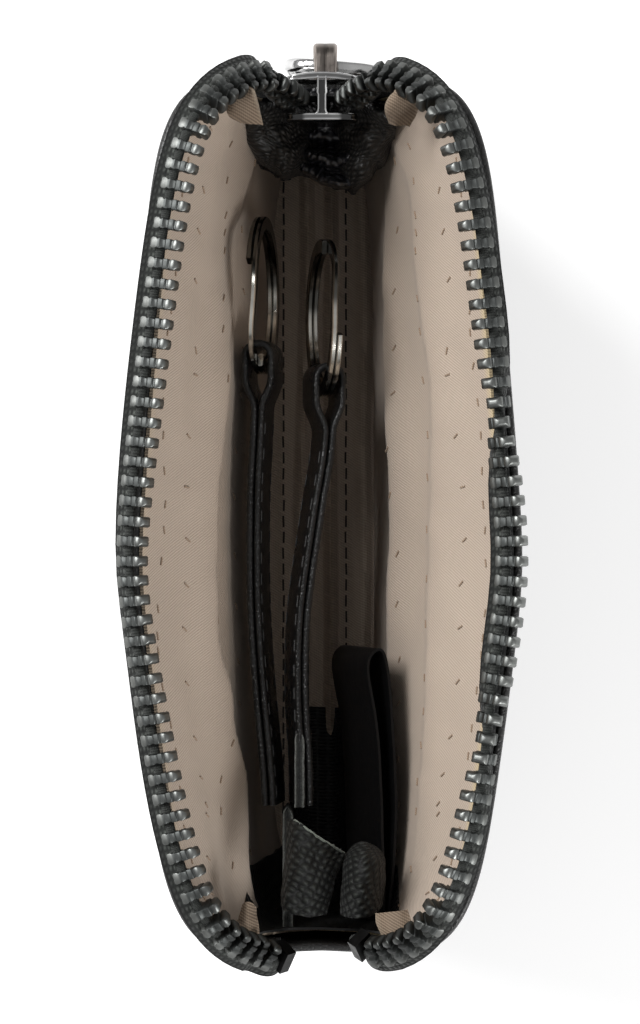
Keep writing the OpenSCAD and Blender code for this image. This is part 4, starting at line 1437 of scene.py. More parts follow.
@dataclass
class ZipTape:
    """The woven tape of each row, from the cord between the legs to the hem under the leather."""

    chain: ChainForm = ChainForm()
    steps: int = 150
    hem: float = 5.0
    cord_radius: float = 0.62
    widths: tuple[float, ...] = (0.0, 1.0, 3.0, 4.0, 5.0, 6.0, 7.0, 9.5, 12.0)

    def section(self, side: Side, s: float) -> Section:
        """Points across the tape at a place of the chain's path."""
        form, chain = self.chain.case, self.chain
        at, lean = chain.at(side, s), chain.lean(side, s)
        end = -s if s < 0 else max(0.0, s - 1)
        a = chain.direction(min(1.0, max(0.0, s)))
        if s < 0:
            a = mix(chain.leave_deg, chain.hem_end_deg, -s)
        elif s > 1:
            a = 180 - mix(chain.leave_deg, chain.hem_end_deg, s - 1)
        edge = form.wall(a, form.rim(a) - form.seam_gap, form.tape_in)
        legs = at - (chain.tooth_length / 2 + form.tape) * lean
        low = form.wall(a, form.rim(a) - mix(self.hem, 0.2 * self.hem, end), form.tape_in)
        points = [at - 0.08 * chain.tooth_length * lean, at - 0.3 * chain.tooth_length * lean, legs]
        points += [legs.lerp(edge, t) - 0.25 * form.tape * sin(pi * t) * lean for t in (0.25, 0.5, 0.75)]
        return points + [edge, edge.lerp(low, 0.5), low]

    def rim(self, side: Side, tails: Sequence[Obj]) -> Obj:
        """The tape along the whole path of one row."""
        places = [-1 + 3 * i / self.steps for i in range(self.steps + 1)]
        rows = [self.section(side, s) for s in places]
        runs = running([row[2] for row in rows])
        obj = Bench.loft(f"zip_tape_{side}", rows, uv=lambda i, j: (runs[i] * MM, self.widths[j] * MM),
                         marks={"hem": lambda i, j: float(j > 1)})
        Bench.cloth(obj, self.chain.case.tape, side)
        Piece(obj, Finishes.TAPE, "zip_tape", nodes=(f"tape_{side}",)).settle()
        return obj

    def cord(self, side: Side) -> Obj:
        """The round cord in the edge of the tape that the legs are crimped on."""
        chain = self.chain
        path = [chain.at(side, s) - 0.16 * chain.tooth_length * chain.lean(side, s)
                for s in (-0.99 + 2.98 * i / 220 for i in range(221))]
        obj = Bench.tube(f"tape_cord_{side}", path, self.cord_radius, 8)
        Bench.set_side(obj, side)
        return Piece(obj, Finishes.TAPE, "zip_tape", angle=70).settle()

    def build(self) -> None:
        """Makes the tape, its tails and its cord on both sides."""
        tails = TapeTails().build()
        for side in Side:
            self.rim(side, tails[side])
            self.cord(side)


@dataclass
class TapeTails:
    """The ends of both tapes, folded into the case below the slider and at the stop end."""

    thickness: float = 0.55
    pleats: dict[str, tuple[tuple[Triple, ...], ...]] = field(default_factory=lambda: {
        "slider_tail_back": (
            ((313, 96, 31), (298, 92, 33), (284, 92, 36), (270, 96, 40), (258, 103, 43), (251, 108, 44)),
            ((314, 110, 31), (299, 106, 34), (285, 105, 37.5), (270, 108, 41.5), (257, 114, 44), (249, 118, 44.5)),
            ((315, 124, 31), (300, 119, 35.5), (285, 120, 36.5), (269, 123, 39), (257, 128, 40), (250, 130, 39.5)),
            ((316, 138, 30), (301, 134, 34), (285, 136, 37), (268, 139, 38.5), (256, 142, 38), (251, 141, 36)),
            ((318, 152, 29), (302, 150, 34.5), (286, 152, 37.5), (269, 154, 37.5), (258, 154, 36), (253, 150, 33)),
            ((320, 165, 27), (304, 167, 32), (288, 170, 34.5), (272, 169, 34), (262, 164, 32), (256, 158, 29)),
            ((321, 172, 23), (306, 176, 27), (290, 178, 29), (276, 174, 28), (266, 167, 27), (259, 160, 25))),
        "slider_tail_front": (
            ((331, 96, 31), (345, 92, 33), (358, 92, 36), (371, 96, 40), (385, 102, 43), (396, 106, 44)),
            ((330, 112, 31), (344, 108, 34), (358, 107, 37.5), (372, 110, 41.5), (387, 114, 44), (398, 116, 44.5)),
            ((329, 128, 30.5), (344, 124, 35), (359, 122, 37), (373, 126, 39.5), (387, 129, 40.5), (396, 128, 40)),
            ((328, 146, 29), (343, 144, 33.5), (359, 141, 37.5), (374, 143, 38.5), (386, 144, 38), (393, 140, 36)),
            ((326, 162, 27), (342, 164, 32), (358, 160, 36.5), (373, 158, 37), (384, 156, 35.5), (390, 150, 33)),
            ((325, 174, 25), (341, 182, 30), (356, 182, 34.5), (369, 172, 34), (379, 166, 32), (386, 158, 29)),
            ((324, 180, 21), (340, 190, 25), (354, 192, 28), (365, 180, 28), (375, 172, 27), (382, 162, 25))),
        "slider_tail_middle": (
            ((302, 84, 26), (311, 82, 26), (321, 81, 26), (332, 81, 26), (343, 82, 26), (352, 84, 26)),
            ((299, 103, 27), (309, 102, 26.5), (321, 101, 26), (334, 101, 26), (346, 102, 26.5), (357, 103, 27)),
            ((296, 122, 30), (308, 121, 29), (321, 121, 28.5), (335, 121, 28.5), (349, 122, 29), (362, 124, 30)),
            ((297, 133, 32), (309, 134, 32.5), (322, 136, 33), (336, 136, 33), (350, 135, 32.5), (363, 134, 31)),
            ((298, 141, 31), (310, 144, 30.5), (323, 147, 30), (337, 148, 30), (351, 146, 30.5), (364, 143, 30)),
            ((299, 149, 33), (311, 154, 34), (324, 158, 34.5), (338, 160, 34.5), (352, 158, 34), (366, 152, 32)),
            ((300, 158, 31), (312, 164, 31.5), (325, 169, 32), (339, 172, 32), (353, 171, 31.5), (367, 164, 30)),
            ((302, 166, 32), (314, 174, 33), (327, 180, 33.5), (341, 184, 33.5), (355, 183, 32.5), (368, 175, 31)),
            ((304, 172, 26), (316, 178, 27), (329, 184, 27.5), (342, 187, 27.5), (356, 186, 27), (369, 179, 25))),
        "stop_tail_back": (
            ((326, 914, 50), (316, 916, 52), (306, 917, 52.5), (296, 915, 52), (287, 911, 50.5), (283, 906, 48)),
            ((329, 898, 49), (318, 899, 51.5), (307, 899, 52.5), (297, 898, 52), (288, 896, 51), (283, 893, 48)),
            ((333, 880, 48.5), (321, 881, 51), (309, 880, 52), (299, 880, 52), (290, 879, 50.5), (285, 878, 48)),
            ((339, 866, 48), (326, 862, 50), (313, 860, 51.2), (302, 860, 51.5), (293, 860, 50.5), (287, 860, 48)),
            ((344, 853, 47), (331, 845, 49), (318, 837, 50), (307, 829, 50.5), (297, 822, 49.8), (290, 818, 47.5))),
        "stop_tail_front": (
            ((342, 914, 49), (349, 917, 51.5), (358, 918, 52.5), (367, 916, 51.8), (376, 911, 50), (381, 905, 47)),
            ((343, 898, 49), (350, 899, 52), (359, 898, 53.2), (369, 898, 52.3), (377, 896, 50.5), (382, 893, 47)),
            ((344, 880, 48.5), (351, 880, 51.6), (360, 878, 53), (370, 879, 52.2), (378, 880, 50.2), (383, 880, 47)),
            ((345, 864, 48), (352, 860, 50.6), (361, 857, 52), (371, 859, 51.4), (379, 863, 49.5), (384, 867, 46)),
            ((346, 856, 44), (353, 848, 46.5), (362, 843, 48), (372, 846, 47), (380, 853, 45.5), (384, 860, 43)))})
    folds: dict[str, tuple[Finishes, float, float]] = field(default_factory=lambda: {
        "slider_tail_back": (Finishes.PLEATED, 0.8, 2.0), "slider_tail_front": (Finishes.PLEATED, 0.8, 5.0),
        "slider_tail_middle": (Finishes.RIBBED, 0.5, 8.0), "stop_tail_back": (Finishes.BRAID, 0.26, 11.0),
        "stop_tail_front": (Finishes.BRAID, 0.22, 17.0)})

    def sheet(self, name: str) -> Obj:
        """One folded end through points given by their place in the picture and their height."""
        finish, crumple, seed = self.folds[name]
        grid = [[seen(*p) for p in row] for row in self.pleats[name]]
        obj = Bench.quilt(name, grid, 8, self.thickness, crumple, seed)
        return Piece(obj, finish, "zip_tape").settle()

    def cut_edge(self) -> Obj:
        """The pale frayed threads along the cut end of the back tape."""
        edge = spline([seen(px, py, z + 0.35) for px, py, z in self.pleats["stop_tail_back"][-1]], 9)
        path = [p + 0.12 * Vector((ripple(k * 0.7, 0, 1), ripple(k * 0.7, 0, 5), ripple(k * 0.7, 0, 9)))
                for k, p in enumerate(edge[:-6])]
        obj = Bench.tube("stop_tail_cut_edge", path, [0.2 + 0.08 * ripple(k * 0.9, 2, 2) for k in range(len(path))], 7,
                         flat=0.7)
        return Piece(obj, Finishes.CUT_EDGE, "zip_tape", angle=70).settle()

    def build(self) -> dict[Side, list[Obj]]:
        """Makes the folded ends, by the side whose tape they end."""
        return {Side.BACK: [self.sheet("slider_tail_back"), self.sheet("stop_tail_back"), self.cut_edge()],
                Side.FRONT: [self.sheet("slider_tail_front"), self.sheet("slider_tail_middle"),
                             self.sheet("stop_tail_front")]}


@dataclass
class Slider:
    """The slider, the crown on its outer plate and the pull that hangs in it."""

    chain: ChainForm = ChainForm()
    length: float = 10.5
    width: float = 9.4
    tail_width: float = 7.4
    plate: float = 0.9
    gap: float = 3.9
    post: float = 1.5
    outer_shift: float = 0.62
    guide_half: float = 0.33
    guide_gap: float = 0.72
    crown_width: float = 3.3
    crown_height: float = 4.7
    crown_y: float = -0.45
    pull_y: float = -1.6
    pull_turn: float = -3.0
    pull_skew: float = -5.0
    crown_wall: float = 1.1
    pull_width: float = 13.6
    pull_length: float = 15.0
    pull_bar: float = 2.0

    @property
    def crown_x(self) -> float:
        """Place of the outer face of the outer plate."""
        return self.chain.slider_x + self.gap / 2 + self.plate

    @property
    def crown_length(self) -> float:
        """Length of the crown up the slider."""
        return 0.68 * self.length

    @property
    def crown_z(self) -> float:
        """Height of the middle of the crown."""
        return self.chain.slider_z + 0.52 * self.length

    def outline(self, shrink: float) -> list[Pair]:
        """Outline of a plate as Y and height, drawn in by a distance."""
        half, tail, top = self.width / 2 - shrink, self.tail_width / 2 - shrink, self.length - shrink
        right = [(tail - 0.5, shrink), (tail - 0.15, shrink + 0.12), (tail, shrink + 0.5), (tail, 0.45 * self.length)]
        right += [(mix(tail, half, ease(t)), mix(0.45, 0.68, t) * self.length) for t in (0.33, 0.66, 1.0)]
        right += [(half, 0.86 * self.length)]
        right += [(half - 0.9 * (1 - cos(t)), mix(0.86 * self.length, top, sin(t)))
                  for t in (pi / 2 * k / 5 for k in range(1, 6))]
        right += [(y, top) for y in (half * 0.66, half * 0.56, half * 0.46, half * 0.36, 0.6)]
        return right + [(-y, z) for y, z in reversed(right)]

    def plate_skin(self, name: str, x: float, bow: float, unshaded_half: float) -> Obj:
        """One plate with soft edges.

        Args:
            name: name of the object.
            x: place of the middle of its inner face.
            bow: how far its long sides are drawn in towards the case.
            unshaded_half: half of the width that keeps its colour; beyond it, and along the middle of its rim, the
                metal is darkened as painted shade and painted dark reflection.

        Returns:
            The plate.
        """
        base = self.chain.slider_z
        rows = []
        steps = ((0.0, 0.18), (0.05, 0.05), (0.18, 0.0), (0.3, 0.02), (self.plate - 0.3, 0.02),
                 (self.plate - 0.18, 0.0), (self.plate - 0.05, 0.05), (self.plate, 0.18))
        for dx, shrink in steps:
            rows.append([Vector((x + dx - bow * (y / self.width * 2) ** 2, y, base + z))
                         for y, z in self.outline(shrink)])
        # Painted shade and painted reflection: the rim is darkened along its middle, and so is the plate beyond the
        # unshaded half.
        return Bench.loft(name, rows, closed=True, caps=True,
                          marks={"painted_shade_and_reflection": lambda i, j: max(0.75 * float(steps[i][1] == 0.02),
                                                           ease((abs(rows[i][j % len(rows[i])].y) - unshaded_half) / 0.6))})

    def body(self) -> Obj:
        """Both plates, the grooved post between them and the guides along their sides."""
        x, base = self.chain.slider_x, self.chain.slider_z
        parts = [self.plate_skin("slider_shell", x + self.gap / 2 + self.outer_shift, 0.6, 4.0),
                 self.plate_skin("inner_plate", x - self.gap / 2 - self.plate, 0.1, 2.0)]
        half = self.post / 2
        rows = []
        for dx, wide in ((-self.gap / 2 - 0.2, 1.3), (-self.gap / 2 + 0.12, 0.95), (-self.gap / 2 + 0.5, 0.8),
                         (self.gap / 2 - 1.5, 0.8), (self.gap / 2 - 1.2, 1.0), (self.gap / 2 - 0.6, 0.9),
                         (self.gap / 2 + 0.9, 0.9)):
            outline = [(-half, 0.0), (-half * 0.9, 0.12), (-half * 0.62, 0.1), (-half * 0.5, -0.5), (half * 0.5, -0.5),
                       (half * 0.62, 0.1), (half * 0.9, 0.12), (half, 0.0), (half, -1.3), (0.12, -3.9), (-0.12, -3.9),
                       (-half, -1.3)]
            rows.append([Vector((x + dx, y * wide, base + self.length + z)) for y, z in outline])
        # Painted shade: the post is darkened everywhere below its top, in its groove and down its sides.
        parts.append(Bench.loft("slider_post", rows, closed=True, caps=True,
                                marks={"painted_shade_and_reflection": lambda i, j: float(rows[i][j % 12].z < base + self.length - 0.3)}))
        for sign in (-1, 1):
            for low, high in ((-self.gap / 2, -self.guide_gap), (self.guide_gap, self.gap / 2)):
                y = sign * (self.tail_width / 2 - 0.34)
                left, right = y - self.guide_half, y + self.guide_half
                outline = [Vector((0, *p)) for p in ((left, 0), (right, 0), (right, 3.9), (y + 0.1, 4.2), (left, 3.9))]
                rows = [[p + Vector((x + dx, 0, base + 0.6)) for p in outline] for dx in (low, high)]
                parts.append(Bench.loft("guide", rows, closed=True, caps=True))
        obj = Bench.join("slider_shell", parts)
        return Piece(obj, Finishes.SLIDER, "slider_metal", "slider", ("slider_body",), angle=35).settle()

    def crown(self) -> Obj:
        """The rounded loop on the outer plate, brushed along its height, with a painted dark band down its middle."""
        height, wall, length = self.crown_height, self.crown_wall, self.crown_length
        radius = 0.45 * height

        def arch(h: float, half: float, r: float) -> list[Pair]:
            """Half outline of an arch, from its lower foot to its upper one."""
            corner = [(h - r + r * sin(t), -half + r - r * cos(t))
                      for t in (pi / 2 * k / 8 for k in range(9))]
            return [(0.0, -half)] + corner + [(u, -v) for u, v in reversed(corner)] + [(0.0, half)]

        half_w = self.crown_width / 2
        rows = []
        # Painted shade and painted reflection: a dark band down the middle of the crown, fading out towards its sides.
        bands = (0.0, 0.0, 0.15, 0.45, 0.6, 0.75, 0.75, 0.6, 0.45, 0.15, 0.0, 0.0)
        for y, shrink in ((-half_w, 0.42), (-half_w + 0.12, 0.18), (-half_w + 0.4, 0.0), (-0.9, 0.0), (-0.35, 0.0),
                          (-0.15, 0.02), (0.15, 0.02), (0.35, 0.0), (0.9, 0.0), (half_w - 0.4, 0.0),
                          (half_w - 0.12, 0.18), (half_w, 0.42)):
            outer = arch(height - shrink, length / 2 - shrink, radius)
            inner = arch(height - wall + 0.3 * shrink, length / 2 - wall + 0.3 * shrink, radius - 0.6 * wall)
            rows.append([Vector((self.crown_x + u, self.crown_y + y * mix(0.86, 1.0, min(1.0, u / height)),
                                 self.crown_z + v)) for u, v in outer + inner[::-1]])
        obj = Bench.loft("crown_loop", rows, closed=True, caps=True, marks={"painted_shade_and_reflection": lambda i, j: bands[i]})
        return Piece(obj, Finishes.CROWN, "crown_metal", "slider", ("slider_crown",), angle=32).settle()

    def pull(self) -> Obj:
        """The stirrup, a flattened bar with softly rounded corners, darkened in lines along it as painted shade and
        painted reflection.
        """
        x = self.crown_x + (self.crown_height - self.crown_wall) / 2
        top = self.crown_z - 0.1 * self.crown_length + self.pull_bar / 2
        half_w, half_l = (self.pull_width - self.pull_bar) / 2, (self.pull_length - self.pull_bar) / 2
        centre = Vector((x, 0, top - self.pull_length / 2))
        radius = 0.3 * self.pull_width - self.pull_bar / 2
        path, ins = [], []
        for cy, cz, start in ((half_w - radius, half_l - radius, 0), (-half_w + radius, half_l - radius, 90),
                              (-half_w + radius, -half_l + radius, 180), (half_w - radius, -half_l + radius, 270)):
            for k in range(9):
                t = radians(start + 90 * k / 8)
                path.append(centre + Vector((0, cy + radius * cos(t), cz + radius * sin(t))))
                ins.append(Vector((0, cos(t), sin(t))))
        half = self.pull_bar / 2
        profile = [(1.0, 0.35), (0.9, 0.62), (0.72, 0.8), (0.5, 0.88), (0.3, 0.8), (0.12, 0.86), (-0.12, 0.86),
                   (-0.3, 0.78), (-0.5, 0.84), (-0.78, 0.66), (-1.0, 0.3)]
        # Painted shade and painted reflection: the bar is darkened in its two shallow grooves and in fainter lines
        # beside them.
        painted_groove_shade = [0.0, 0.25, 0.0, 0.1, 1.0, 0.05, 0.05, 1.0, 0.0, 0.5, 0.2]
        profile += [(u, -v) for u, v in reversed(profile)]
        painted_groove_shade += painted_groove_shade[::-1]
        swing = Matrix.Translation((x, self.pull_y, top)) @ Matrix.Rotation(radians(self.pull_skew), 4, "Z")
        swing = swing @ Matrix.Rotation(radians(self.pull_turn), 4, "X") @ Matrix.Translation((-x, 0, -top))
        rows = [[swing @ (p + half * (u * out + Vector((v, 0, 0)))) for u, v in profile] for p, out in zip(path, ins)]
        obj = Bench.loft("pull_loop", rows + [rows[0]], closed=True,
                         marks={"painted_shade_and_reflection": lambda i, j: painted_groove_shade[j % len(painted_groove_shade)]})
        return Piece(obj, Finishes.PULL, "pull_metal", "pull", ("pull_tab",), angle=38).settle()

    def build(self) -> None:
        """Makes the slider, its crown and its pull."""
        self.body()
        self.crown()
        self.pull()


@dataclass(frozen=True)
class StrapForm:
    """Path of one folded key strap, in millimetres."""

    side: Side
    shares: tuple[Pair, ...]
    ring_x: float
    tilt: float
    ring_turn: float
    height: float = 35.0
    width: float = 9.0
    layer: float = 0.9
    loop: float = 2.6
    base_width: float = 20.0
    pivot_x: float = -34.5
    root: float = 4.05
    ring_d: float = 21.0
    wire: float = 1.8
    turn: float = 0.7
    turn_gap: float = 0.08

    @property
    def y(self) -> float:
        """Place of the loop across the case."""
        return self.shares[6][1] * self.base_width / 2

    @property
    def dip(self) -> float:
        """Sagitta of the loop over the stack of the ring's turns."""
        stack = 2 * self.turn + self.turn_gap
        return (self.loop - sqrt(self.loop**2 - stack**2)) / 2

    @property
    def reach(self) -> float:
        """Distance from the middle of the ring to the inner end of the loop."""
        inner = self.ring_d / 2 - self.wire
        return sqrt(inner**2 - (self.width / 2) ** 2) - 0.3 - self.dip

    def path(self) -> Section:
        """Middle of the strip from one root round the loop to the other, at the strap's own height."""
        loop_mid, layer_mid = (self.loop + self.layer) / 2, (self.layer + 0.1) / 2
        loop_length = self.ring_d / 2 + 0.3 + self.dip - self.reach
        end = self.ring_x - self.reach - loop_mid + self.layer / 2
        start = end - loop_length + self.loop / 2
        taper = 1.6 * self.loop
        x0, x1 = self.pivot_x - self.root, start - taper
        nodes = [Vector((mix(x0, x1, s), y * self.base_width / 2, 0)) for s, y in self.shares]
        line = spline(nodes, 10)[10:-10]
        sides = [beside(line, i)[1] for i in range(len(line))]
        out = [p + layer_mid * s for p, s in zip(line, sides)]
        out += [Vector((start - taper * (1 - t), self.y + mix(layer_mid, loop_mid, (1 - cos(pi * t)) / 2), 0))
                for t in (k / 8 for k in range(1, 9))]
        arc = [Vector((end + loop_mid * cos(t), self.y + loop_mid * sin(t), 0))
               for t in (pi / 2 - pi * k / 20 for k in range(21))]
        back = [p - layer_mid * s for p, s in zip(line, sides)]
        back += [Vector((p.x, 2 * self.y - p.y, 0)) for p in out[len(line):]]
        return out + arc + back[::-1]

    @property
    def leaned(self) -> Matrix:
        """Lean of the strap about the line at its own height."""
        shift = Matrix.Translation((0, self.y, self.height))
        return shift @ Matrix.Rotation(radians(self.tilt), 4, "X") @ Matrix.Translation((0, -self.y, 0))


@dataclass
class KeyStraps:
    """The two key straps, the tab between their roots and the split rings that they hold."""

    straps: tuple[StrapForm, ...] = (
        StrapForm(Side.FRONT, ((-0.3, 0.28), (0, 0.28), (0.12, 0.29), (0.3, 0.34), (0.52, 0.31), (0.78, 0.13),
                               (1, -0.03), (1.3, -0.03)), 26.0, 10.0, -60.0),
        StrapForm(Side.BACK, ((-0.3, 0.61), (0, 0.64), (0.12, 0.68), (0.3, 0.77), (0.52, 0.84), (0.78, 0.84),
                              (1, 0.79), (1.3, 0.79)), 29.0, -8.0, -110.0))
    stitch_pitch: float = 2.3
    stitch_edge: float = 0.82
    unstitched: float = 17.0
    ring_points: int = 211
    ring_start_deg: int = 45
    ring_step_deg: int = 3
    jog_deg: float = 30
    raw_end: tuple[float, Pair, Pair] = (-28.9, (2.3, 3.62), (36.0, 40.4))

    def strip(self, form: StrapForm) -> Obj:
        """One strap: a strip with painted, rounded edges, folded round its ring."""
        path = form.path()
        half_w, half_t = form.width / 2, form.layer / 2
        outline = [(copysign(abs(cos(t)) ** 0.8, cos(t)),
                    copysign(0.88 + 0.12 * abs(sin(t)), sin(t)))
                   for t in (pi * (k + 0.5) / 9 for k in range(18))]
        rows = []
        for i, p in enumerate(path):
            side = beside(path, i)[1]
            rows.append([form.leaned @ (p + half_t * u * side + Vector((0, 0, half_w * v))) for u, v in outline])
        obj = Bench.loft(f"strap_strip_{form.side}", rows, closed=True, caps=True)
        Bench.smooth(obj, 50)
        body = f"{form.side}_strap"
        return Piece(obj, Finishes.STRAP, "strap_leather", body, (f"strap_{form.side}",)).settle()

    def stitches(self, form: StrapForm) -> Obj:
        """The thread along both edges of a strap's outer faces."""
        model = Bench.stitch("strap_stitch", 1.5, 0.16, 0.7, 0.05, 0.12)
        path = form.path()
        count = next(i for i, p in enumerate(path) if p.x > form.ring_x - self.unstitched) + 1
        places, last = [], None
        for i in range(2, count):
            p = path[i]
            if last is not None and (p - last).length < self.stitch_pitch:
                continue
            last = p
            along, side = beside(path, i)
            mate = path[len(path) - 1 - i]
            for at, out in ((p, side), (mate, -side)):
                for z in (-self.stitch_edge, self.stitch_edge):
                    spot = at + (form.layer / 2 - 0.06) * out + Vector((0, 0, z * form.width / 2))
                    places.append(form.leaned @ placed(along, out.cross(along), out, spot))
        obj = Bench.scatter(f"strap_stitches_{form.side}", model, places)
        return Piece(obj, Finishes.BLACK_THREAD, "strap_leather", f"{form.side}_strap").settle()

    def ring(self, form: StrapForm) -> Obj:
        """One split ring: flat wire in two turns that cross in a short jog."""
        turn_mid = (form.turn + form.turn_gap) / 2
        middle = form.ring_d / 2 - form.wire / 2
        w, t = form.wire / 2, form.turn / 2
        profile = [(w, -0.55 * t), (w, 0.55 * t), (0.82 * w, t), (0.3 * w, t), (-0.3 * w, t), (-0.82 * w, t),
                   (-w, 0.55 * t), (-w, -0.55 * t), (-0.82 * w, -t), (-0.3 * w, -t), (0.3 * w, -t), (0.82 * w, -t)]
        lean = form.leaned @ Matrix.Translation((form.ring_x, form.y, 0))
        lean = lean @ Matrix.Rotation(radians(form.ring_turn), 4, "Y")
        rows = []
        for k in range(self.ring_points):
            a = self.ring_start_deg + self.ring_step_deg * k
            shift = turn_mid * sin(pi / 2 * max(-1.0, min(1.0, (a - 360) / self.jog_deg)))
            c, s = cos(radians(a)), sin(radians(a))
            rows.append([lean @ Vector(((middle + u) * c, v + shift, (middle + u) * s)) for u, v in profile])
        # Painted reflection and painted shade: the flat faces of the wire are darkened so that only its rounded edges
        # catch light, and the ring darkens towards the slider end.
        faces = (0.0, 0.0, 0.7, 1.0, 1.0, 0.7) * 2
        marks = {"painted_shade_and_reflection": lambda i, j: max(faces[j % 12], 0.93 * ease((rows[i][0].x - form.ring_x) / 2.5))}
        obj = Bench.loft(f"split_ring_{form.side}", rows, closed=True, caps=True, marks=marks)
        Bench.smooth(obj, 40)
        body = f"{form.side}_ring"
        return Piece(obj, Finishes.RING, "ring_steel", body, (f"ring_{form.side}",)).settle()

    def raw_strip(self, name: str, ends: Pair, sides: Pair,
                  heights: Pair, body: str, nodes: tuple[str, ...] = ()) -> Obj:
        """A ragged strip of leather on edge, with pale cut borders and a rounded forward end.

        Args:
            name: name of the piece.
            ends: where it starts and ends along the case.
            sides: its two faces across the case.
            heights: its lower and upper edge.
            body: the body that it rides on.
            nodes: the solids that it stands for.

        Returns:
            The strip.
        """
        rows = []
        steps = 34
        middle, half = (sides[0] + sides[1]) / 2, (sides[1] - sides[0]) / 2
        for i in range(steps + 1):
            x = mix(ends[0], ends[1], i / steps)
            near = min(1.0, max(0.0, (ends[1] - x) / 1.2))
            wide = half * sqrt(max(0.02, 1 - (1 - near) ** 2)) + 0.05 * ripple(x * 1.3, 2.0, 5.0)
            top = heights[1] + 0.25 * ripple(x * 0.9, 1.0, 0.0) - 0.5 * (1 - near) ** 2
            y = middle + 0.07 * ripple(x * 0.5, 8.0, 5.0)
            section = ((-1, heights[0]), (1, heights[0]), (1, top - 0.5), (0.96, top - 0.08), (0.72, top),
                       (0.5, top - 0.22), (0.0, top - 0.3), (-0.5, top - 0.22), (-0.72, top), (-0.96, top - 0.08),
                       (-1, top - 0.5))
            rows.append([Vector((x, y + wide * u, z)) for u, z in section])
        pale = (0, 0, 0.5, 0.9, 1, 0.2, 0, 0.2, 1, 0.9, 0.5)
        obj = Bench.loft(name, rows, closed=True, caps=True, marks={"hem": lambda i, j: pale[j % len(pale)]})
        return Piece(obj, Finishes.RAW, "raw_leather", body, nodes, angle=45).settle()

    def tab(self) -> None:
        """The leather that holds both straps, and the raw end of the front strap that lies before it."""
        low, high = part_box("strap_anchor")
        low, high = low / MM, high / MM
        self.raw_strip("raw_tab", (low.x, high.x), (low.y, high.y), (low.z, high.z), "root", ("strap_anchor",))
        end, sides, heights = self.raw_end
        self.raw_strip("raw_strap_end", (high.x + 0.1, end), sides, heights, "front_strap")

    def build(self) -> None:
        """Makes both straps with their rings, and the tab."""
        for form in self.straps:
            self.strip(form)
            self.stitches(form)
            self.ring(form)
        self.tab()


@dataclass
class Ribbon:
    """The satin ribbon, folded into a loop."""

    root: Pair = (-54.0, -6.2)
    across: float = 13.5
    length: float = 36.0
    width: float = 14.0
    thickness: float = 0.35
    tilt: float = 19.0
    height: float = 34.55
    shares: tuple[Pair, ...] = (
        (-0.2, 0.02), (0, 0.02), (0.35, 0.04), (0.7, 0.09), (0.93, 0.19), (1, 0.1), (0.96, 0.0), (0.7, -0.07),
        (0.35, -0.1), (0, -0.02), (-0.2, -0.02))

    def build(self) -> Obj:
        """Makes the ribbon."""
        nodes = [Vector((self.root[0] + s * self.length, self.root[1] + y * self.across, 0)) for s, y in self.shares]
        line = spline(nodes, 10)[10:-10]
        runs = running(line)
        lean = Matrix.Translation((0, self.root[1], self.height)) @ Matrix.Rotation(radians(self.tilt), 4, "X")
        lean = lean @ Matrix.Translation((0, -self.root[1], 0))
        levels = [-1.0, -0.985, -0.6, -0.2, 0.2, 0.6, 0.985, 1.0]
        rows = [[lean @ (p + Vector((0, 0.12 * ripple(p.x * 0.2, v, 1.0), v * self.width / 2))) for v in levels]
                for p in line]
        obj = Bench.loft("satin_ribbon", rows, uv=lambda i, j: (runs[i] * MM, levels[j] * self.width / 2 * MM))
        Bench.cloth(obj, self.thickness)
        Piece(obj, Finishes.SATIN, "satin", nodes=("ribbon_label",)).settle()
        return obj


# Stage


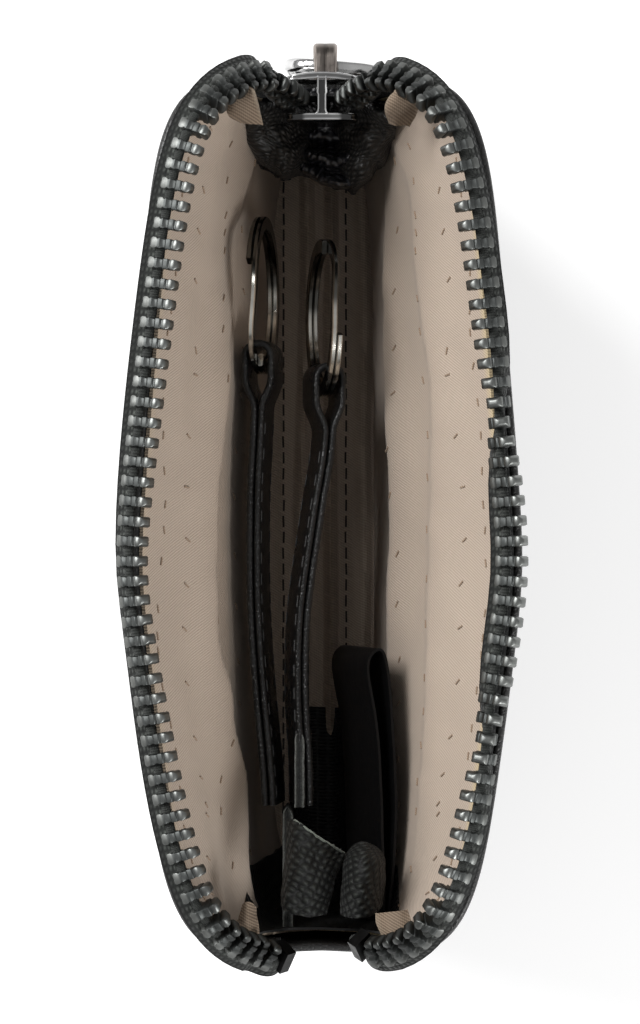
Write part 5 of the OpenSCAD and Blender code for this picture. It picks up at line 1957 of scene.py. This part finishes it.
@dataclass(frozen=True)
class Studio:
    """White sweep, soft lamps and the camera straight above the mouth."""

    distance: float = 0.5
    mouth_plane: float = 0.065
    frame_height: float = 0.1286
    look: Pair = (0.0002, 0.00025)
    floor_glow: float = 0.31
    sky: float = 0.41
    aim: Triple = (0.0, 0.0, 0.05)
    lamps: tuple[tuple[str, Triple, float, float], ...] = (
        ("key", (0.28, 0.34, 0.6), 0.26, 4.2),
        ("left", (0.24, 0.68, 0.54), 0.3, 3.3),
        ("right", (-0.55, -0.5, 0.48), 0.3, 5.5))

    def camera(self) -> None:
        """Puts the camera over the case, the slider at the top of the picture."""
        data = bpy.data.cameras.new("camera")
        data.sensor_fit = "VERTICAL"
        data.sensor_height = 36.0
        data.lens = data.sensor_height / 2 / (self.frame_height / 2 / self.distance)
        data.clip_start = 0.01
        data.clip_end = 20.0
        obj = bpy.data.objects.new("camera", data)
        obj.location = (*self.look, self.mouth_plane + self.distance)
        obj.rotation_euler = (0.0, 0.0, -pi / 2)
        bpy.context.collection.objects.link(obj)
        bpy.context.scene.camera = obj

    def lamp(self, name: str, place: Triple, size: float, power_w: float) -> None:
        """Adds a soft square lamp that points at the case."""
        data = bpy.data.lights.new(name, "AREA")
        data.size = size
        data.energy = power_w
        obj = bpy.data.objects.new(name, data)
        obj.location = place
        obj.rotation_euler = (Vector(self.aim) - Vector(place)).to_track_quat("-Z", "Y").to_euler()
        bpy.context.collection.objects.link(obj)

    def white(self) -> Material:
        """Material of the floor: white to the camera, and it keeps the shadow."""
        material = bpy.data.materials.new("sweep")
        material.use_nodes = True
        tree = material.node_tree
        tree.nodes.clear()
        add, link = tree.nodes.new, tree.links.new

        def combine(kind: str, a: Socket, b: Socket | float) -> Socket:
            """Arithmetic between an output and another one, or a constant."""
            made = add("ShaderNodeMath")
            made.operation = kind
            link(a, made.inputs[0])
            if isinstance(b, Socket):
                link(b, made.inputs[1])
            else:
                made.inputs[1].default_value = b
            return made.outputs[0]

        diffuse = add("ShaderNodeBsdfDiffuse")
        diffuse.inputs["Color"].default_value = (0.82, 0.82, 0.82, 1)
        glow = add("ShaderNodeEmission")
        glow.inputs["Color"].default_value = (1, 1, 1, 1)
        rays = add("ShaderNodeLightPath").outputs
        either = combine("MAXIMUM", rays["Is Glossy Ray"], rays["Is Transmission Ray"])
        level = combine("MULTIPLY", combine("MAXIMUM", rays["Is Camera Ray"], either), self.floor_glow)
        link(level, glow.inputs["Strength"])
        both = add("ShaderNodeAddShader")
        link(diffuse.outputs[0], both.inputs[0])
        link(glow.outputs[0], both.inputs[1])
        link(both.outputs[0], add("ShaderNodeOutputMaterial").inputs["Surface"])
        return material

    def build(self) -> None:
        """Makes the camera, the floor, the world and the lamps."""
        self.camera()
        Bench.clear()
        bpy.ops.mesh.primitive_plane_add(size=3.0, location=(0, 0, -0.0002))
        floor = Bench.take("floor")
        floor.data.materials.append(self.white())
        world = bpy.data.worlds.new("soft_light")
        world.use_nodes = True
        sky = world.node_tree.nodes["Background"].inputs
        sky["Color"].default_value = (1, 1, 1, 1)
        sky["Strength"].default_value = self.sky
        bpy.context.scene.world = world
        for name, place, size, power_w in self.lamps:
            self.lamp(name, place, size, power_w)
        bpy.context.scene.view_settings.view_transform = "Standard"


def dress(finishes: dict[str, Finishes]) -> None:
    """Gives the solids that stay as they are their finish.

    Args:
        finishes: the finish of each node, by its name.
    """
    for obj in bpy.data.objects:
        node = obj.get("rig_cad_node")
        if node in finishes:
            finishes[node].give(obj)
            LOG.info("%s: finished in %s", node, finishes[node].name)


def main() -> None:
    """Builds the scene."""
    logging.basicConfig(level=logging.INFO, format="%(name)s %(message)s")
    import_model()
    Studio().build()
    LeatherShell().build()
    Lining().build()
    ZipTeeth().build()
    ZipTape().build()
    EndFacing().build()
    Slider().build()
    KeyStraps().build()
    Ribbon().build()
    dress({"base_stiffener": Finishes.BOARD, "top_stop_back": Finishes.STOP, "top_stop_front": Finishes.STOP,
           "bottom_stop": Finishes.STOP})


if __name__ == "__main__":
    main()
